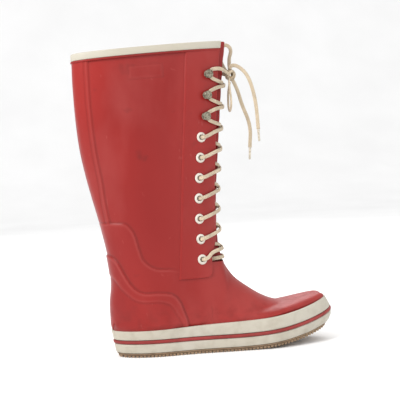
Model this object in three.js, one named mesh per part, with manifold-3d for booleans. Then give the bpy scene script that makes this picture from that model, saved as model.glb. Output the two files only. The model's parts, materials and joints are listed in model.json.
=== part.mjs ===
// Tall lace-up rubber rain boot, right foot, in millimetres.
// +X points to the toe, +Z up, -Y to the outer (lateral) side of the foot.
// The origin is on the floor, under the axis of the leg, on a flat rib of the tread.
import * as THREE from "three";
import { mergeVertices } from "three/addons/utils/BufferGeometryUtils.js";
import Module from "manifold-3d";

const wasm = await Module();
wasm.setup();

// ---- driving dimensions ----
const footLength = 288; // outsole, heel to toe
const legTop = 383; // height of the leg's rim at the boot's axis
const legDepthScale = 1; // front-to-back size of the leg, as a factor on its profile
const widthScale = 1; // side-to-side size of the leg and foot, as a factor
const toeSpring = 21; // lift of the sole at the toe tip
const toeSpringStart = 80; // where the sole starts to lift
const rimSlope = 0.056; // the rim rises towards the front

const rubber = 2; // wall of the rubber leg and vamp
const liningThickness = 0.9;
const overlayThickness = 1.3; // facings, counter, back stay
const tongueThickness = 2;
const gap = 0.3; // clearance between touching pieces

const outsolePlate = 3.2;
const treadDepth = 2;
const treadPitch = 9;
const lowerBandHeight = 11.4;
const stripeHeight = 4.2;
const foxingHeelTop = 33.5;
const foxingToeTop = 37.5;
const foxingThickness = 3.4;
const midsoleThickness = 6.6;
const insoleBoardThickness = 2;
const footbedThickness = 4.5;

const eyeletCount = 7;
const hookCount = 3;
const lowestEyelet = 116.5;
const topHookBelowRim = 39.7;
const eyeletPitch = (legTop - topHookBelowRim - lowestEyelet) / (eyeletCount + hookCount - 1);
const eyeletSetback = 28.5; // behind the front of the leg
const hookSetback = 25.2;
const eyeletHole = 3.1; // radius of the lace hole
const eyeletWall = 0.7;
const eyeletFlange = 6.3; // outer radius
const eyeletFlangeThickness = 0.9;
const hookNeck = 2;
const hookCap = 5.5;
const hookCapHeight = 2.2;
const rivetFlange = 4.6;

const laceWidth = 4;
const laceThickness = 2;
const throatHeight = 112; // bottom of the front slit
const facingGapHalf = 15.5; // half the opening between the two facings
const facingBottom = 93.5;

const bandHeight = 9;
const bandThickness = 1.5;
const pipingRadius = 1.2;

// ---- derived levels, from the floor up, before the toe is lifted ----
const plateTop = treadDepth + outsolePlate;
const lowerBandBottom = plateTop + gap;
const lowerBandTop = lowerBandBottom + lowerBandHeight;
const stripeBottom = lowerBandTop + gap;
const stripeTop = stripeBottom + stripeHeight;
const upperBandBottom = stripeTop + gap;
const midsoleTop = plateTop + gap + midsoleThickness;
const upperBase = midsoleTop + gap;
const boardTop = upperBase + insoleBoardThickness;
const footbedTop = boardTop + gap + footbedThickness;

// ---- colours ----
const red = { color: 0xae4038, roughness: 0.5, metalness: 0 };
const darkRed = { color: 0x9c3f3a, roughness: 0.5, metalness: 0 };
const white = { color: 0xccc3b1, roughness: 0.6, metalness: 0 };
const gum = { color: 0x8e7267, roughness: 0.8, metalness: 0 };
const cotton = { color: 0xc9ba9b, roughness: 0.9, metalness: 0 };
const lining = { color: 0xb9ad9c, roughness: 0.95, metalness: 0 };
const nickel = { color: 0x7d735f, roughness: 0.4, metalness: 0.8 };
const paint = { color: 0xe6e2d8, roughness: 0.35, metalness: 0.1 };
const clear = { color: 0xd8d0c0, roughness: 0.3, metalness: 0 };

// ---- smooth curve through a few points, without overshoot ----
function curve(points) {
  const slopes = points.map((point, i) => {
    const before = points[Math.max(i - 1, 0)];
    const after = points[Math.min(i + 1, points.length - 1)];
    const left = (point[1] - before[1]) / (point[0] - before[0]);
    const right = (after[1] - point[1]) / (after[0] - point[0]);
    if (i === 0) return right;
    if (i === points.length - 1) return left;
    return left * right > 0 ? (2 * left * right) / (left + right) : 0;
  });
  return (x) => {
    if (x <= points[0][0]) return points[0][1];
    if (x >= points.at(-1)[0]) return points.at(-1)[1];
    const i = points.findIndex((point, k) => k > 0 && x <= point[0]) - 1;
    const [x0, y0] = points[i];
    const [x1, y1] = points[i + 1];
    const span = x1 - x0;
    const t = (x - x0) / span;
    const a = (1 + 2 * t) * (1 - t) * (1 - t);
    const b = t * (1 - t) * (1 - t) * span;
    const c = t * t * (3 - 2 * t);
    const d = t * t * (t - 1) * span;
    return a * y0 + b * slopes[i] + c * y1 + d * slopes[i + 1];
  };
}

function smoothstep(low, high, x) {
  return THREE.MathUtils.smoothstep(x, low, high);
}

// ---- the boot's outer surface ----
// Profiles are drawn for a 288 mm sole and a 383 mm leg; lengths follow footLength, heights above
// the instep follow legTop.
const profileLength = 288;
const profileTop = 383;
const instep = 100;
const alongScale = footLength / profileLength;
const upperInset = foxingThickness + gap + 0.5; // the upper stands inside the foxing
const heelEnd = -72 * alongScale;
const toeEnd = heelEnd + footLength;

function toProfile(z) {
  if (z <= instep) return z;
  return instep + ((z - instep) * (profileTop - instep)) / (legTop - instep);
}

const backProfile = curve([
  [12, -66], [28, -67.2], [34, -69], [42, -70.2], [62, -70.4], [92, -67.4], [122, -70],
  [152, -75], [173, -79.5], [198, -85.6], [230, -92.4], [261, -97.3], [292, -100], [323, -101.6],
  [355, -102], [383, -101.6],
]);
const legFrontProfile = curve([
  [12, 68], [100, 69.5], [125, 70.3], [150, 69.5], [189, 70.6], [252, 76.6], [315, 83.5],
  [355, 88.5], [383, 93],
]);
const ridgeProfile = curve([
  [12, 210.5], [21, 210], [29, 207.5], [34.5, 204.5], [39, 199], [42.5, 190],
  [44.5, 178], [46, 165], [49, 150],
  [54.5, 136], [64, 120], [74.5, 106], [88, 90], [98, 82], [110, 75.5], [124, 71.5], [135, 68],
  [150, 58], [168, 40], [190, 0], [215, -75],
]);
const legHalfWidth = curve([
  [12, 30], [60, 32], [100, 34.5], [150, 35.5], [200, 34], [260, 32], [320, 30.5], [383, 30],
]);
const lateralSole = curve([[0, 53], [0.15, 47.5], [0.35, 39], [0.55, 45], [0.75, 57], [1, 57]]);
const medialSole = curve([
  [0, 53], [0.15, 45.5], [0.35, 34.5], [0.5, 35.5], [0.65, 48], [0.8, 60], [1, 75],
]);

// heel and toe of the sole are drawn in towards the floor
const heelDraft = curve([[0, 9], [5, 5.5], [10, 4.5], [17, 3.4], [25, 2.2], [33, 0.6], [40, 0]]);
const toeDraft = curve([[0, 11], [5, 4.5], [10, 1], [14, 0], [21, 1], [30, 4.5], [37.5, 8]]);

function foxingTop(x) {
  return foxingHeelTop + (foxingToeTop - foxingHeelTop) * smoothstep(-40, 120, x);
}

// room that the upper gains over the foxing's edge
function release(x, z) {
  return 1.2 * Math.max(0, z - foxingTop(x));
}

function legBack(z) {
  const profile = backProfile(toProfile(z)) * alongScale * (z > instep ? legDepthScale : 1);
  const inFoxing = heelEnd + heelDraft(z) + upperInset;
  return Math.max(profile, inFoxing - release(heelEnd, z));
}

function legFront(z) {
  return legFrontProfile(toProfile(z)) * alongScale * (z > instep ? legDepthScale : 1);
}

function ridgeFront(z) {
  return ridgeProfile(z) * alongScale;
}

function front(z) {
  return Math.max(legFront(z), ridgeFront(z));
}

// height of the vamp's ridge over x
function ridgeHeight(x) {
  let low = upperBase;
  let high = 215;
  for (let i = 0; i < 30; i += 1) {
    const middle = (low + high) / 2;
    if (ridgeFront(middle) > x) low = middle;
    else high = middle;
  }
  return (low + high) / 2;
}

function soleFullness(x, side) {
  const share = THREE.MathUtils.clamp((x - heelEnd) / footLength, 0, 1);
  return (side < 0 ? lateralSole(share) : medialSole(share)) * widthScale;
}

// half width of the sole's side wall at x and height z, drawn in by inset
function soleHalf(x, z, side, inset) {
  const start = heelEnd + heelDraft(z) + inset;
  const end = toeEnd - toeDraft(z) - inset;
  const share = THREE.MathUtils.clamp((x - start) / (end - start), 0, 1);
  const full = soleFullness(x, side) - inset - heelDraft(z) * 0.25;
  return full * 2 * Math.sqrt(share * (1 - share));
}

// half width of the upper at x and height z: the leg's oval joined with the foot's dome
const jointPower = 5;
const limitPower = 20;
function halfWidth(x, z, side) {
  const back = legBack(z);
  const shaftFront = legFront(z);
  const u = (2 * x - back - shaftFront) / (shaftFront - back);
  const leg = legHalfWidth(toProfile(z)) * widthScale * Math.max(0, 1 - u * u) ** 0.4;
  const toe = ridgeFront(upperBase);
  const share = THREE.MathUtils.clamp((x - back) / (toe - back), 0, 1);
  const round = 2 * Math.sqrt(share * (1 - share));
  const plan = Math.max(0, (soleFullness(x, side) - upperInset) * round);
  const ridge = ridgeHeight(x);
  const rise = THREE.MathUtils.clamp((z - upperBase) / (ridge - upperBase), 0, 1);
  const foot = plan * Math.sqrt(1 - rise ** 2.4);
  const free = (leg ** jointPower + foot ** jointPower) ** (1 / jointPower);
  const limit = soleHalf(x, Math.min(z, foxingTop(x)), side, upperInset) + release(x, z);
  if (free <= 0 || limit <= 0) return 0;
  return (free ** -limitPower + limit ** -limitPower) ** (-1 / limitPower);
}

// the sole and everything over it lift towards the toe; the rim slopes
function bend(point, level = point.z) {
  const reach = Math.max(0, (point.x - toeSpringStart) / (toeEnd - toeSpringStart));
  const rim = smoothstep(legTop - 130, legTop, level) * rimSlope * point.x;
  return new THREE.Vector3(point.x, point.y, point.z + toeSpring * reach * reach + rim);
}

// q runs round the boot: 0 at the front, -1 and 1 at the back, negative on the lateral side
function flatPoint(backLevel, frontLevel, q) {
  const side = (q < 0 && q >= -1) || q > 1 ? -1 : 1;
  const share = (1 + Math.cos(Math.PI * q)) / 2;
  const start = legBack(backLevel);
  const x = start + (front(frontLevel) - start) * share;
  const z = backLevel + (frontLevel - backLevel) * share;
  return new THREE.Vector3(x, side * halfWidth(x, z, side), z);
}

function normalAt(backLevel, frontLevel, q) {
  const dq = 0.01;
  const dz = 0.6;
  const left = flatPoint(backLevel, frontLevel, q - dq);
  const right = flatPoint(backLevel, frontLevel, q + dq);
  const below = flatPoint(backLevel - dz, frontLevel - dz, q);
  const above = flatPoint(backLevel + dz, frontLevel + dz, q);
  return right.sub(left).cross(above.sub(below)).normalize();
}

// a point of the boot's surface, moved outwards by offset
function surface(level, q, offset = 0, frontLevel = level) {
  const normal = normalAt(level, frontLevel, q);
  const point = flatPoint(level, frontLevel, q).addScaledVector(normal, offset);
  return bend(point, level);
}

// the place q round the boot where the surface has this x
function roundAt(level, x) {
  const start = legBack(level);
  const share = THREE.MathUtils.clamp((x - start) / (front(level) - start), 0, 1);
  return Math.acos(2 * share - 1) / Math.PI;
}

// ---- closed bodies from grids of points ----
function closedBody(points, triangles) {
  const geometry = new THREE.BufferGeometry();
  const coordinates = points.flatMap((point) => point.toArray());
  geometry.setAttribute("position", new THREE.Float32BufferAttribute(coordinates, 3));
  let volume = 0;
  for (let i = 0; i < triangles.length; i += 3) {
    const [a, b, c] = [points[triangles[i]], points[triangles[i + 1]], points[triangles[i + 2]]];
    volume += a.dot(b.clone().cross(c));
  }
  geometry.setIndex(volume > 0 ? triangles : triangles.toReversed());
  return geometry;
}

function quad(triangles, a, b, c, d) {
  triangles.push(a, b, c, a, c, d);
}

// sheet with a thickness: two grids of rows and columns, closed round their edge
function sheet(outer, inner) {
  const rows = outer.length;
  const columns = outer[0].length;
  const points = [...outer.flat(), ...inner.flat()];
  const half = rows * columns;
  const triangles = [];
  for (let i = 0; i + 1 < rows; i += 1) {
    for (let j = 0; j + 1 < columns; j += 1) {
      const at = i * columns + j;
      quad(triangles, at, at + 1, at + columns + 1, at + columns);
      quad(triangles, half + at, half + at + columns, half + at + columns + 1, half + at + 1);
    }
  }
  const rim = [];
  for (let j = 0; j < columns; j += 1) rim.push(j);
  for (let i = 1; i < rows; i += 1) rim.push(i * columns + columns - 1);
  for (let j = columns - 2; j >= 0; j -= 1) rim.push((rows - 1) * columns + j);
  for (let i = rows - 2; i > 0; i -= 1) rim.push(i * columns);
  rim.forEach((at, k) => {
    const next = rim[(k + 1) % rim.length];
    quad(triangles, next, at, half + at, half + next);
  });
  return closedBody(points, triangles);
}

// a section carried round a closed loop: sections[i][k]
function loop(sections) {
  const count = sections.length;
  const sides = sections[0].length;
  const triangles = [];
  for (let i = 0; i < count; i += 1) {
    for (let k = 0; k < sides; k += 1) {
      const next = ((i + 1) % count) * sides;
      const side = (k + 1) % sides;
      quad(triangles, i * sides + k, next + k, next + side, i * sides + side);
    }
  }
  return closedBody(sections.flat(), triangles);
}

// a section carried along an open line, with flat ends; outline is its flat shape, anticlockwise
function strip(sections, outline) {
  const count = sections.length;
  const sides = sections[0].length;
  const triangles = [];
  for (let i = 0; i + 1 < count; i += 1) {
    for (let k = 0; k < sides; k += 1) {
      const side = (k + 1) % sides;
      quad(triangles, i * sides + k, (i + 1) * sides + k, (i + 1) * sides + side, i * sides + side);
    }
  }
  const last = (count - 1) * sides;
  THREE.ShapeUtils.triangulateShape(outline, []).forEach(([a, b, c]) => {
    triangles.push(a, b, c);
    triangles.push(last + a, last + c, last + b);
  });
  return closedBody(sections.flat(), triangles);
}

// foot-shaped slab: levels of outlines, each one lateral points then the medial ones back
function slab(levels) {
  const count = levels[0].length;
  const half = count / 2;
  const triangles = [];
  for (let i = 0; i + 1 < levels.length; i += 1) {
    for (let k = 0; k < count; k += 1) {
      const next = (k + 1) % count;
      quad(triangles, i * count + k, i * count + next, (i + 1) * count + next, (i + 1) * count + k);
    }
  }
  const top = (levels.length - 1) * count;
  for (let k = 0; k < half; k += 1) {
    const [a, b, c, d] = [k, k + 1, (count - k - 1) % count, (count - k) % count];
    if (k > 0) triangles.push(a, d, c);
    if (k < half - 1) triangles.push(a, c, b);
    if (k > 0) triangles.push(top + a, top + c, top + d);
    if (k < half - 1) triangles.push(top + a, top + b, top + c);
  }
  return closedBody(levels.flat(), triangles);
}

function toManifold(geometry) {
  const plain = geometry.clone();
  plain.deleteAttribute("normal");
  plain.deleteAttribute("uv");
  const merged = mergeVertices(plain, 1e-4);
  const mesh = new wasm.Mesh({
    numProp: 3,
    vertProperties: Float32Array.from(merged.attributes.position.array),
    triVerts: Uint32Array.from(merged.index.array),
  });
  return new wasm.Manifold(mesh);
}

function fromManifold(manifold) {
  const mesh = manifold.getMesh();
  const geometry = new THREE.BufferGeometry();
  geometry.setAttribute("position", new THREE.Float32BufferAttribute(mesh.vertProperties, 3));
  geometry.setIndex(Array.from(mesh.triVerts));
  return geometry;
}

// cylinder along a direction, centred on a point
function bar(radius, length, centre, direction, sides = 12) {
  const geometry = new THREE.CylinderGeometry(radius, radius, length, sides);
  const turn = new THREE.Quaternion().setFromUnitVectors(new THREE.Vector3(0, 1, 0), direction);
  return geometry.applyQuaternion(turn).translate(...centre);
}

function drill(geometry, holes) {
  let body = toManifold(geometry);
  holes.forEach((hole) => {
    body = body.subtract(toManifold(hole));
  });
  return fromManifold(body);
}

// ---- scene ----
const group = new THREE.Group();

function add(name, geometry, finish, parent = group) {
  const mesh = new THREE.Mesh(geometry, new THREE.MeshStandardMaterial(finish));
  mesh.name = name;
  parent.add(mesh);
  return mesh;
}

function range(count) {
  return Array.from({ length: count }, (_, i) => i);
}

// ---- sole ----
function soleOutline(z, inset, count) {
  const start = heelEnd + heelDraft(z) + inset;
  const end = toeEnd - toeDraft(z) - inset;
  const edge = (k, side) => {
    const share = (1 - Math.cos((Math.PI * k) / count)) / 2;
    const x = start + (end - start) * share;
    return new THREE.Vector3(x, side * soleHalf(x, z, side, inset), z);
  };
  const lateral = range(count + 1).map((k) => edge(k, -1));
  const medial = range(count - 1).map((k) => edge(count - 1 - k, 1));
  return [...lateral, ...medial];
}

const soleSteps = 20;

function bendGeometry(geometry) {
  const position = geometry.attributes.position;
  const point = new THREE.Vector3();
  for (let i = 0; i < position.count; i += 1) {
    point.fromBufferAttribute(position, i);
    position.setXYZ(i, ...bend(point));
  }
  return geometry;
}

function outsole() {
  const plate = slab([treadDepth, plateTop].map((z) => soleOutline(z, 0, soleSteps)));
  let body = toManifold(plate);
  const start = heelEnd + heelDraft(0) + treadPitch / 2;
  const count = Math.floor((footLength - heelDraft(0) - toeDraft(0) - treadPitch / 2) / treadPitch);
  const first = start - ((start + treadPitch / 4) % treadPitch);
  const rib = treadPitch / 2;
  range(count).forEach((i) => {
    const x = first + i * treadPitch;
    const outline = soleOutline(treadDepth, 0.8, soleSteps * 2);
    const widthAt = (place, side) => {
      const half = outline.filter((point) => point.y * side >= 0).sort((a, b) => a.x - b.x);
      const next = half.findIndex((point) => point.x > place);
      const [a, b] = [half[next - 1], half[next]];
      return a.y + ((b.y - a.y) * (place - a.x)) / (b.x - a.x);
    };
    const shape = new THREE.Shape();
    shape.moveTo(x, widthAt(x, -1));
    shape.lineTo(x + rib, widthAt(x + rib, -1));
    shape.lineTo(x + rib, widthAt(x + rib, 1));
    shape.lineTo(x, widthAt(x, 1));
    const lug = new THREE.ExtrudeGeometry(shape, { depth: treadDepth + 1, bevelEnabled: false });
    body = body.add(toManifold(lug));
  });
  return bendGeometry(fromManifold(body));
}

// a band of the sole's side wall, from bottom to top; bulge moves its middle outwards
function soleBand(bottom, topAt, proud, thickness) {
  const outline = (z, inset) => soleOutline(z, inset, soleSteps);
  const sections = range(2 * soleSteps).map((k) => {
    const x = outline(bottom, 0)[k].x;
    const top = topAt(x);
    const middle = (bottom + top) / 2;
    return [
      outline(bottom, thickness)[k],
      outline(bottom, -proud * 0.4)[k],
      outline(middle, -proud)[k],
      outline(top, -proud * 0.4)[k],
      outline(top, thickness)[k],
    ].map((point) => bend(point));
  });
  return loop(sections);
}

const bottomGroup = new THREE.Group();
group.add(bottomGroup);
add("outsole", outsole(), gum, bottomGroup);
const bandBulge = 0.2;
const stripeBulge = 1;
const lowerBand = soleBand(lowerBandBottom, () => lowerBandTop, bandBulge, foxingThickness);
const stripe = soleBand(stripeBottom, () => stripeTop, stripeBulge, foxingThickness);
const upperBand = soleBand(upperBandBottom, foxingTop, bandBulge, foxingThickness);
add("foxing_lower_band", lowerBand, white, bottomGroup);
add("foxing_stripe", stripe, darkRed, bottomGroup);
add("foxing_upper_band", upperBand, white, bottomGroup);

// filler, board and footbed lie inside one another's walls
const fillerInset = foxingThickness + gap;
const fillerOutline = soleOutline(plateTop, fillerInset, soleSteps);
const fillerAt = (z) => fillerOutline.map((point) => point.clone().setZ(z));
const filler = slab([plateTop + gap, midsoleTop].map(fillerAt));
add("midsole_filler", bendGeometry(filler), gum, bottomGroup);

const footbedEase = 4.3;
const wallInside = rubber + gap + liningThickness + footbedEase;
function innerSlab(bottom, top, steps) {
  const start = legBack(upperBase);
  const end = ridgeFront(top);
  const innerEdge = (k, z, side) => {
    const share = (1 - Math.cos((Math.PI * k) / steps)) / 2;
    const outerX = start + (end - start) * share;
    const x = start + wallInside + (end - start - 2 * wallInside) * share;
    const wall = Math.min(halfWidth(outerX, bottom, side), halfWidth(outerX, top, side));
    const inside = wall * (1 - wallInside / soleFullness(outerX, side));
    return new THREE.Vector3(x, side * inside, z);
  };
  const ring = (z) => {
    const lateral = range(steps + 1).map((k) => innerEdge(k, z, -1));
    const medial = range(steps - 1).map((k) => innerEdge(steps - 1 - k, z, 1));
    return [...lateral, ...medial];
  };
  return bendGeometry(slab([ring(bottom), ring(top)]));
}
add("insole_board", innerSlab(upperBase, boardTop, soleSteps), gum, bottomGroup);
add("footbed", innerSlab(boardTop + gap, footbedTop, soleSteps), lining, bottomGroup);

// ---- rubber upper: two leg quarters and a vamp ----
// rows of the upper, as the height at the back and at the front
const rimRow = legTop - bandThickness - gap;
const footRows = [
  [upperBase, upperBase], [25, 28], [foxingHeelTop - 0.1, foxingToeTop - 0.2], [36.2, 39.8],
  [41, 41.6], [46, 43], [51, 45], [58, 47.5], [64, 53], [71, 62], [80, 74], [90, 88],
  [throatHeight - 10, throatHeight - 10], [throatHeight, throatHeight],
];
const ankleTop = 158;
const legLevels = [
  120, 130, 142, ankleTop,
  ...range(6).map((i) => ankleTop + ((rimRow - ankleTop) * (i + 1)) / 6),
];
const legRows = legLevels.map((level) => [level, level]);

// front edge of the leg: the seam with the vamp below the throat, the open slit above it
const seamEdge = curve([[12, 50], [throatHeight - 2, 55.5]]);
function throatFlare(level) {
  return 1 - smoothstep(throatHeight, throatHeight + 38, level);
}

function slitEdge(level) {
  const open = facingGapHalf * widthScale;
  let low = 0;
  let high = 0.5;
  for (let i = 0; i < 24; i += 1) {
    const middle = (low + high) / 2;
    if (Math.abs(flatPoint(level, level, middle).y) < open) low = middle;
    else high = middle;
  }
  const wide = roundAt(throatHeight, seamEdge(throatHeight) * alongScale);
  return high + (wide - high) * throatFlare(level);
}

function rowEdge([back, frontLevel]) {
  if (back > throatHeight) return slitEdge(back);
  const x = seamEdge(back) * alongScale;
  const start = legBack(back);
  const share = (x - start) / (front(frontLevel) - start);
  return Math.acos(2 * share - 1) / Math.PI;
}

const seamHalf = gap / 2;
function edgeGap(level, q) {
  const step = flatPoint(level, level, q + 0.01).distanceTo(flatPoint(level, level, q));
  return (seamHalf * 0.01) / step;
}

// half: -1 or 1 keeps a panel on its side of the back seam
function panel(rows, fromQ, toQ, columns, outside, inside, half = 0) {
  const grid = (offset) => rows.map((row) => {
    const [from, to] = [fromQ(row), toQ(row)];
    return range(columns + 1).map((j) => {
      const q = from + ((to - from) * j) / columns;
      const depth = typeof offset === "function" ? offset(row, q) : offset;
      const point = surface(row[0], q, depth, row[1]);
      if (half) point.y = half * Math.max(seamHalf, point.y * half);
      return point;
    });
  });
  return sheet(grid(outside), grid(inside));
}

const bodyRows = [...footRows, ...legRows];
const legColumns = 10;
const backSeam = 1 - edgeGap(200, 0.98);

// ---- places of the lacing ----
const eyeletLevels = range(eyeletCount).map((i) => lowestEyelet + i * eyeletPitch);
const hookLevels = range(hookCount).map((i) => lowestEyelet + (eyeletCount + i) * eyeletPitch);
const eyeletRound = (level) => roundAt(level, legFront(level) - eyeletSetback);
const hookRound = (level) => roundAt(level, legFront(level) - hookSetback);

// heights of the layers over (+) and under (-) the leg's outer surface
const overlayTop = gap + overlayThickness;
const liningEase = 0.9; // the lining's clearance to the wall
const liningOutside = -rubber - liningEase;
const liningInside = liningOutside - liningThickness;
const flangeRoom = 1; // the flat inner flange on the curved wall
const innerFlangeTop = -rubber - flangeRoom;
const innerFlangeBottom = innerFlangeTop - eyeletFlangeThickness;
const laceUnder = innerFlangeBottom - gap - laceThickness / 2;
const strandRoom = 1.7; // a strand under the facing runs straight behind the curved wall
const tongueRecess = laceUnder - laceThickness / 2 - strandRoom;
const flangeTop = overlayTop + gap + eyeletFlangeThickness;
const laceOver = flangeTop + gap + laceThickness / 2;

// drilled holes for the eyelets and hook rivets of one side
const lacingSides = 8;
function lacingHoles(side, eyeletRadius, hookRadius) {
  const reach = 24;
  const hole = (level, q, radius) => {
    const centre = surface(level, side * q);
    return bar(radius, reach, centre, normalAt(level, level, side * q), lacingSides);
  };
  return [
    ...eyeletLevels.map((level) => hole(level, eyeletRound(level), eyeletRadius)),
    ...hookLevels.map((level) => hole(level, hookRound(level), hookRadius)),
  ];
}
const eyeletTube = eyeletHole + eyeletWall;
const innerFlange = eyeletFlange - 1;
const cornerRoom = 1 / Math.cos(Math.PI / lacingSides);
const tubeHoles = (side) => lacingHoles(
  side,
  (eyeletTube + gap) * cornerRoom,
  (hookNeck + gap) * cornerRoom,
);
const flangeHoles = (side) => lacingHoles(
  side,
  (innerFlange + gap) * cornerRoom,
  (rivetFlange + gap) * cornerRoom,
);

const sides = [["lateral", -1], ["medial", 1]];
const heelEase = (level) => 1 * (1 - smoothstep(52, 64, level)); // more room round the tight heel
sides.forEach(([name, side]) => {
  const edge = (row) => side * (rowEdge(row) + edgeGap(row[0], rowEdge(row)));
  const back = () => side * backSeam;
  const leg = panel(bodyRows, back, edge, legColumns, 0, -rubber, side);
  add(`leg_${name}`, drill(leg, tubeHoles(side)), red);
  const inner = panel(
    bodyRows,
    back,
    edge,
    legColumns,
    (row) => liningOutside - heelEase(row[0]),
    (row) => liningInside - heelEase(row[0]),
    side,
  );
  add(`lining_${name}`, drill(inner, flangeHoles(side)), lining);
});

const vampColumns = 14;
const vampStart = (row) => -rowEdge(row);
add("vamp", panel(footRows, vampStart, rowEdge, vampColumns, 0, -rubber), red);
const vampLining = panel(footRows, vampStart, rowEdge, vampColumns, liningOutside, liningInside);
add("lining_vamp", vampLining, lining);

// ---- facings: the reinforced strips that carry the eyelets and hooks ----
const pipingTop = legTop - bandHeight - gap;
const overlayRim = pipingTop - 2 * pipingRadius - gap; // overlays end under the piping
const facingRear = (level) => 2.65 * alongScale + 0.0863 * level;
const facingEase = 0.1;
const facingCorner = curve([[facingBottom, 47], [95, 51], [99, 54.6], [throatHeight - 2, 55.2]]);
const overlayLevels = [...legLevels.slice(0, -1), overlayRim];
const facingLevels = [facingBottom, 95, 99, throatHeight - 7, throatHeight, ...overlayLevels];
const facingRows = facingLevels.map((level) => [level, level]);
sides.forEach(([name, side]) => {
  const frontEdge = ([level]) => {
    if (level > throatHeight) return side * (slitEdge(level) + edgeGap(level, slitEdge(level)));
    return side * roundAt(level, facingCorner(level) * alongScale - 0.5);
  };
  const rearEdge = ([level]) => side * roundAt(level, facingRear(level));
  const flap = panel(facingRows, rearEdge, frontEdge, 6, overlayTop, gap + facingEase);
  add(`facing_${name}`, drill(flap, tubeHoles(side)), red);
});

// ---- tongue: it fills the slit and bulges forward between the facings ----
const tongueHalf = 24;
const tongueBottom = throatHeight - 7;
function roundAtWidth(level, y) {
  let low = 0;
  let high = 0.5;
  for (let i = 0; i < 24; i += 1) {
    const middle = (low + high) / 2;
    if (Math.abs(flatPoint(level, level, middle).y) < y) low = middle;
    else high = middle;
  }
  return high;
}
const tongueProud = -0.5;
const recessWidth = 12.5;
function tongueOffset(level, q) {
  const y = Math.abs(flatPoint(level, level, q).y);
  const slit = level > throatHeight ? Math.abs(flatPoint(level, level, slitEdge(level)).y) : 26;
  const recess = smoothstep(slit - recessWidth, slit - 0.5, y);
  const under = 1 - smoothstep(throatHeight - 2, throatHeight + 5, level);
  return tongueProud + (tongueRecess - tongueProud) * Math.max(recess, under);
}
const tongueTop = legTop - 0.8;
const tongueLevels = [
  tongueBottom, 109, 113, 118, 123, 128, 134, 142, ...legLevels.slice(3, -1), tongueTop,
];
const tongueRows = tongueLevels.map((level) => [level, level]);
const tongueEdge = ([level]) => roundAtWidth(level, tongueHalf * widthScale);
const tongue = panel(
  tongueRows,
  (row) => -tongueEdge(row),
  tongueEdge,
  12,
  ([level], q) => tongueOffset(level, q),
  ([level], q) => tongueOffset(level, q) - tongueThickness,
);
add("tongue", tongue, darkRed);

// ---- overlays on the heel and the back ----
// upper edges over the distance from the back; the counter lies on the ankle overlay
const ankleEdge = curve([
  [0, 167], [15, 167], [27, 165], [32, 158], [34.3, 150], [36, 136], [39, 120], [45, 112.5],
  [51.5, 109.3], [71, 106.9], [85, 103],
]);
const counterEdge = curve([
  [0, 128], [7.5, 121], [13, 108], [20, 92.5], [28, 84], [37.6, 79.5], [53, 79], [66, 77.5],
  [73, 75], [81, 66], [86, 54], [89.5, 41],
]);
const overlayFoot = 3.4; // the overlays end a little over the foxing
function heelOverlay(edge, columns, offset, thickness, rows) {
  const column = (distance, side) => range(rows + 1).map((i) => {
    const place = legBack(60) + distance;
    const bottom = foxingTop(place) + overlayFoot;
    const level = bottom + (edge(distance) - bottom) * (i / rows) ** 1.5;
    return [level, side * roundAt(level, legBack(level) + distance)];
  });
  const all = [
    ...columns.toReversed().map((distance) => column(distance, -1)),
    ...columns.slice(1).map((distance) => column(distance, 1)),
  ];
  const grid = (height) => all.map((line) => line.map(([level, q]) => surface(level, q, height)));
  return sheet(grid(offset + thickness), grid(offset));
}
const ankleThickness = 0.9;
const ankleColumns = [0, 0.4, 1.5, 3.5, 7, 12, 20, 28, 34.3, 39, 48, 60, 75];
add("ankle_overlay", heelOverlay(ankleEdge, ankleColumns, 3 * gap, ankleThickness, 10), red);
const counterOffset = 6.7 * gap + ankleThickness;
const counterThickness = 1.1;
const counterColumns = [0, 0.4, 1.5, 3.5, 7, 12, 19, 28, 39, 52, 66, 74, 81, 88];
add("heel_counter", heelOverlay(counterEdge, counterColumns, counterOffset, counterThickness, 8), red);

const stayWidth = curve([[165, 9], [190, 11], [225, 15], [313, 16.5], [383, 17]]);
const stayBottom = 167 + 2 * gap;
const stayRows = [stayBottom, ...overlayLevels.slice(4)];
const stayRound = ([level]) => roundAt(level, legBack(level) + stayWidth(level));
const stayPairs = stayRows.map((level) => [level, level]);
const stayEnd = (row) => 2 - stayRound(row);
add("back_stay", panel(stayPairs, stayRound, stayEnd, 10, overlayTop, gap), red);

const patchStart = -36;
const patchLength = 41;
const patchLevels = [344.5, 359.5].map((level) => [level, level]);
add(
  "blank_patch",
  panel(
    patchLevels,
    ([level]) => -roundAt(level, patchStart),
    ([level]) => -roundAt(level, patchStart + patchLength),
    5,
    gap + 0.6,
    gap,
  ),
  red,
);

// ---- white rim binding and the red piping under it ----
const bindingInside = liningInside - 2 * gap;
const bindingSection = [
  [gap, legTop - bandHeight],
  [gap + bandThickness, legTop - bandHeight],
  [gap + bandThickness, legTop - 0.6],
  [gap, legTop],
  [bindingInside, legTop],
  [bindingInside - 1, legTop - 0.6],
  [bindingInside - 1, legTop - 5],
  [bindingInside, legTop - 5],
  [bindingInside, legTop - bandThickness],
  [gap, legTop - bandThickness],
];
const pipingCentre = pipingTop - pipingRadius;
const pipingSection = range(6).map((k) => {
  const angle = (Math.PI * k) / 3;
  const offset = gap + 0.1 + pipingRadius * (1 + Math.cos(angle));
  return [offset, pipingCentre + pipingRadius * Math.sin(angle)];
});
function roundTheRim(section) {
  const edge = slitEdge(rimRow);
  const start = edge + edgeGap(rimRow, edge);
  const half = range(legColumns + 1).map((j) => start + ((backSeam - start) * j) / legColumns);
  const places = [...half.map((q) => -q), 1, ...half.toReversed()];
  const sections = places.map((q) => section.map(([offset, level]) => surface(level, q, offset)));
  return strip(sections, section.map((point) => new THREE.Vector2(...point)));
}
add("rim_binding", roundTheRim(bindingSection), white);
add("piping", roundTheRim(pipingSection), darkRed);

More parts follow.
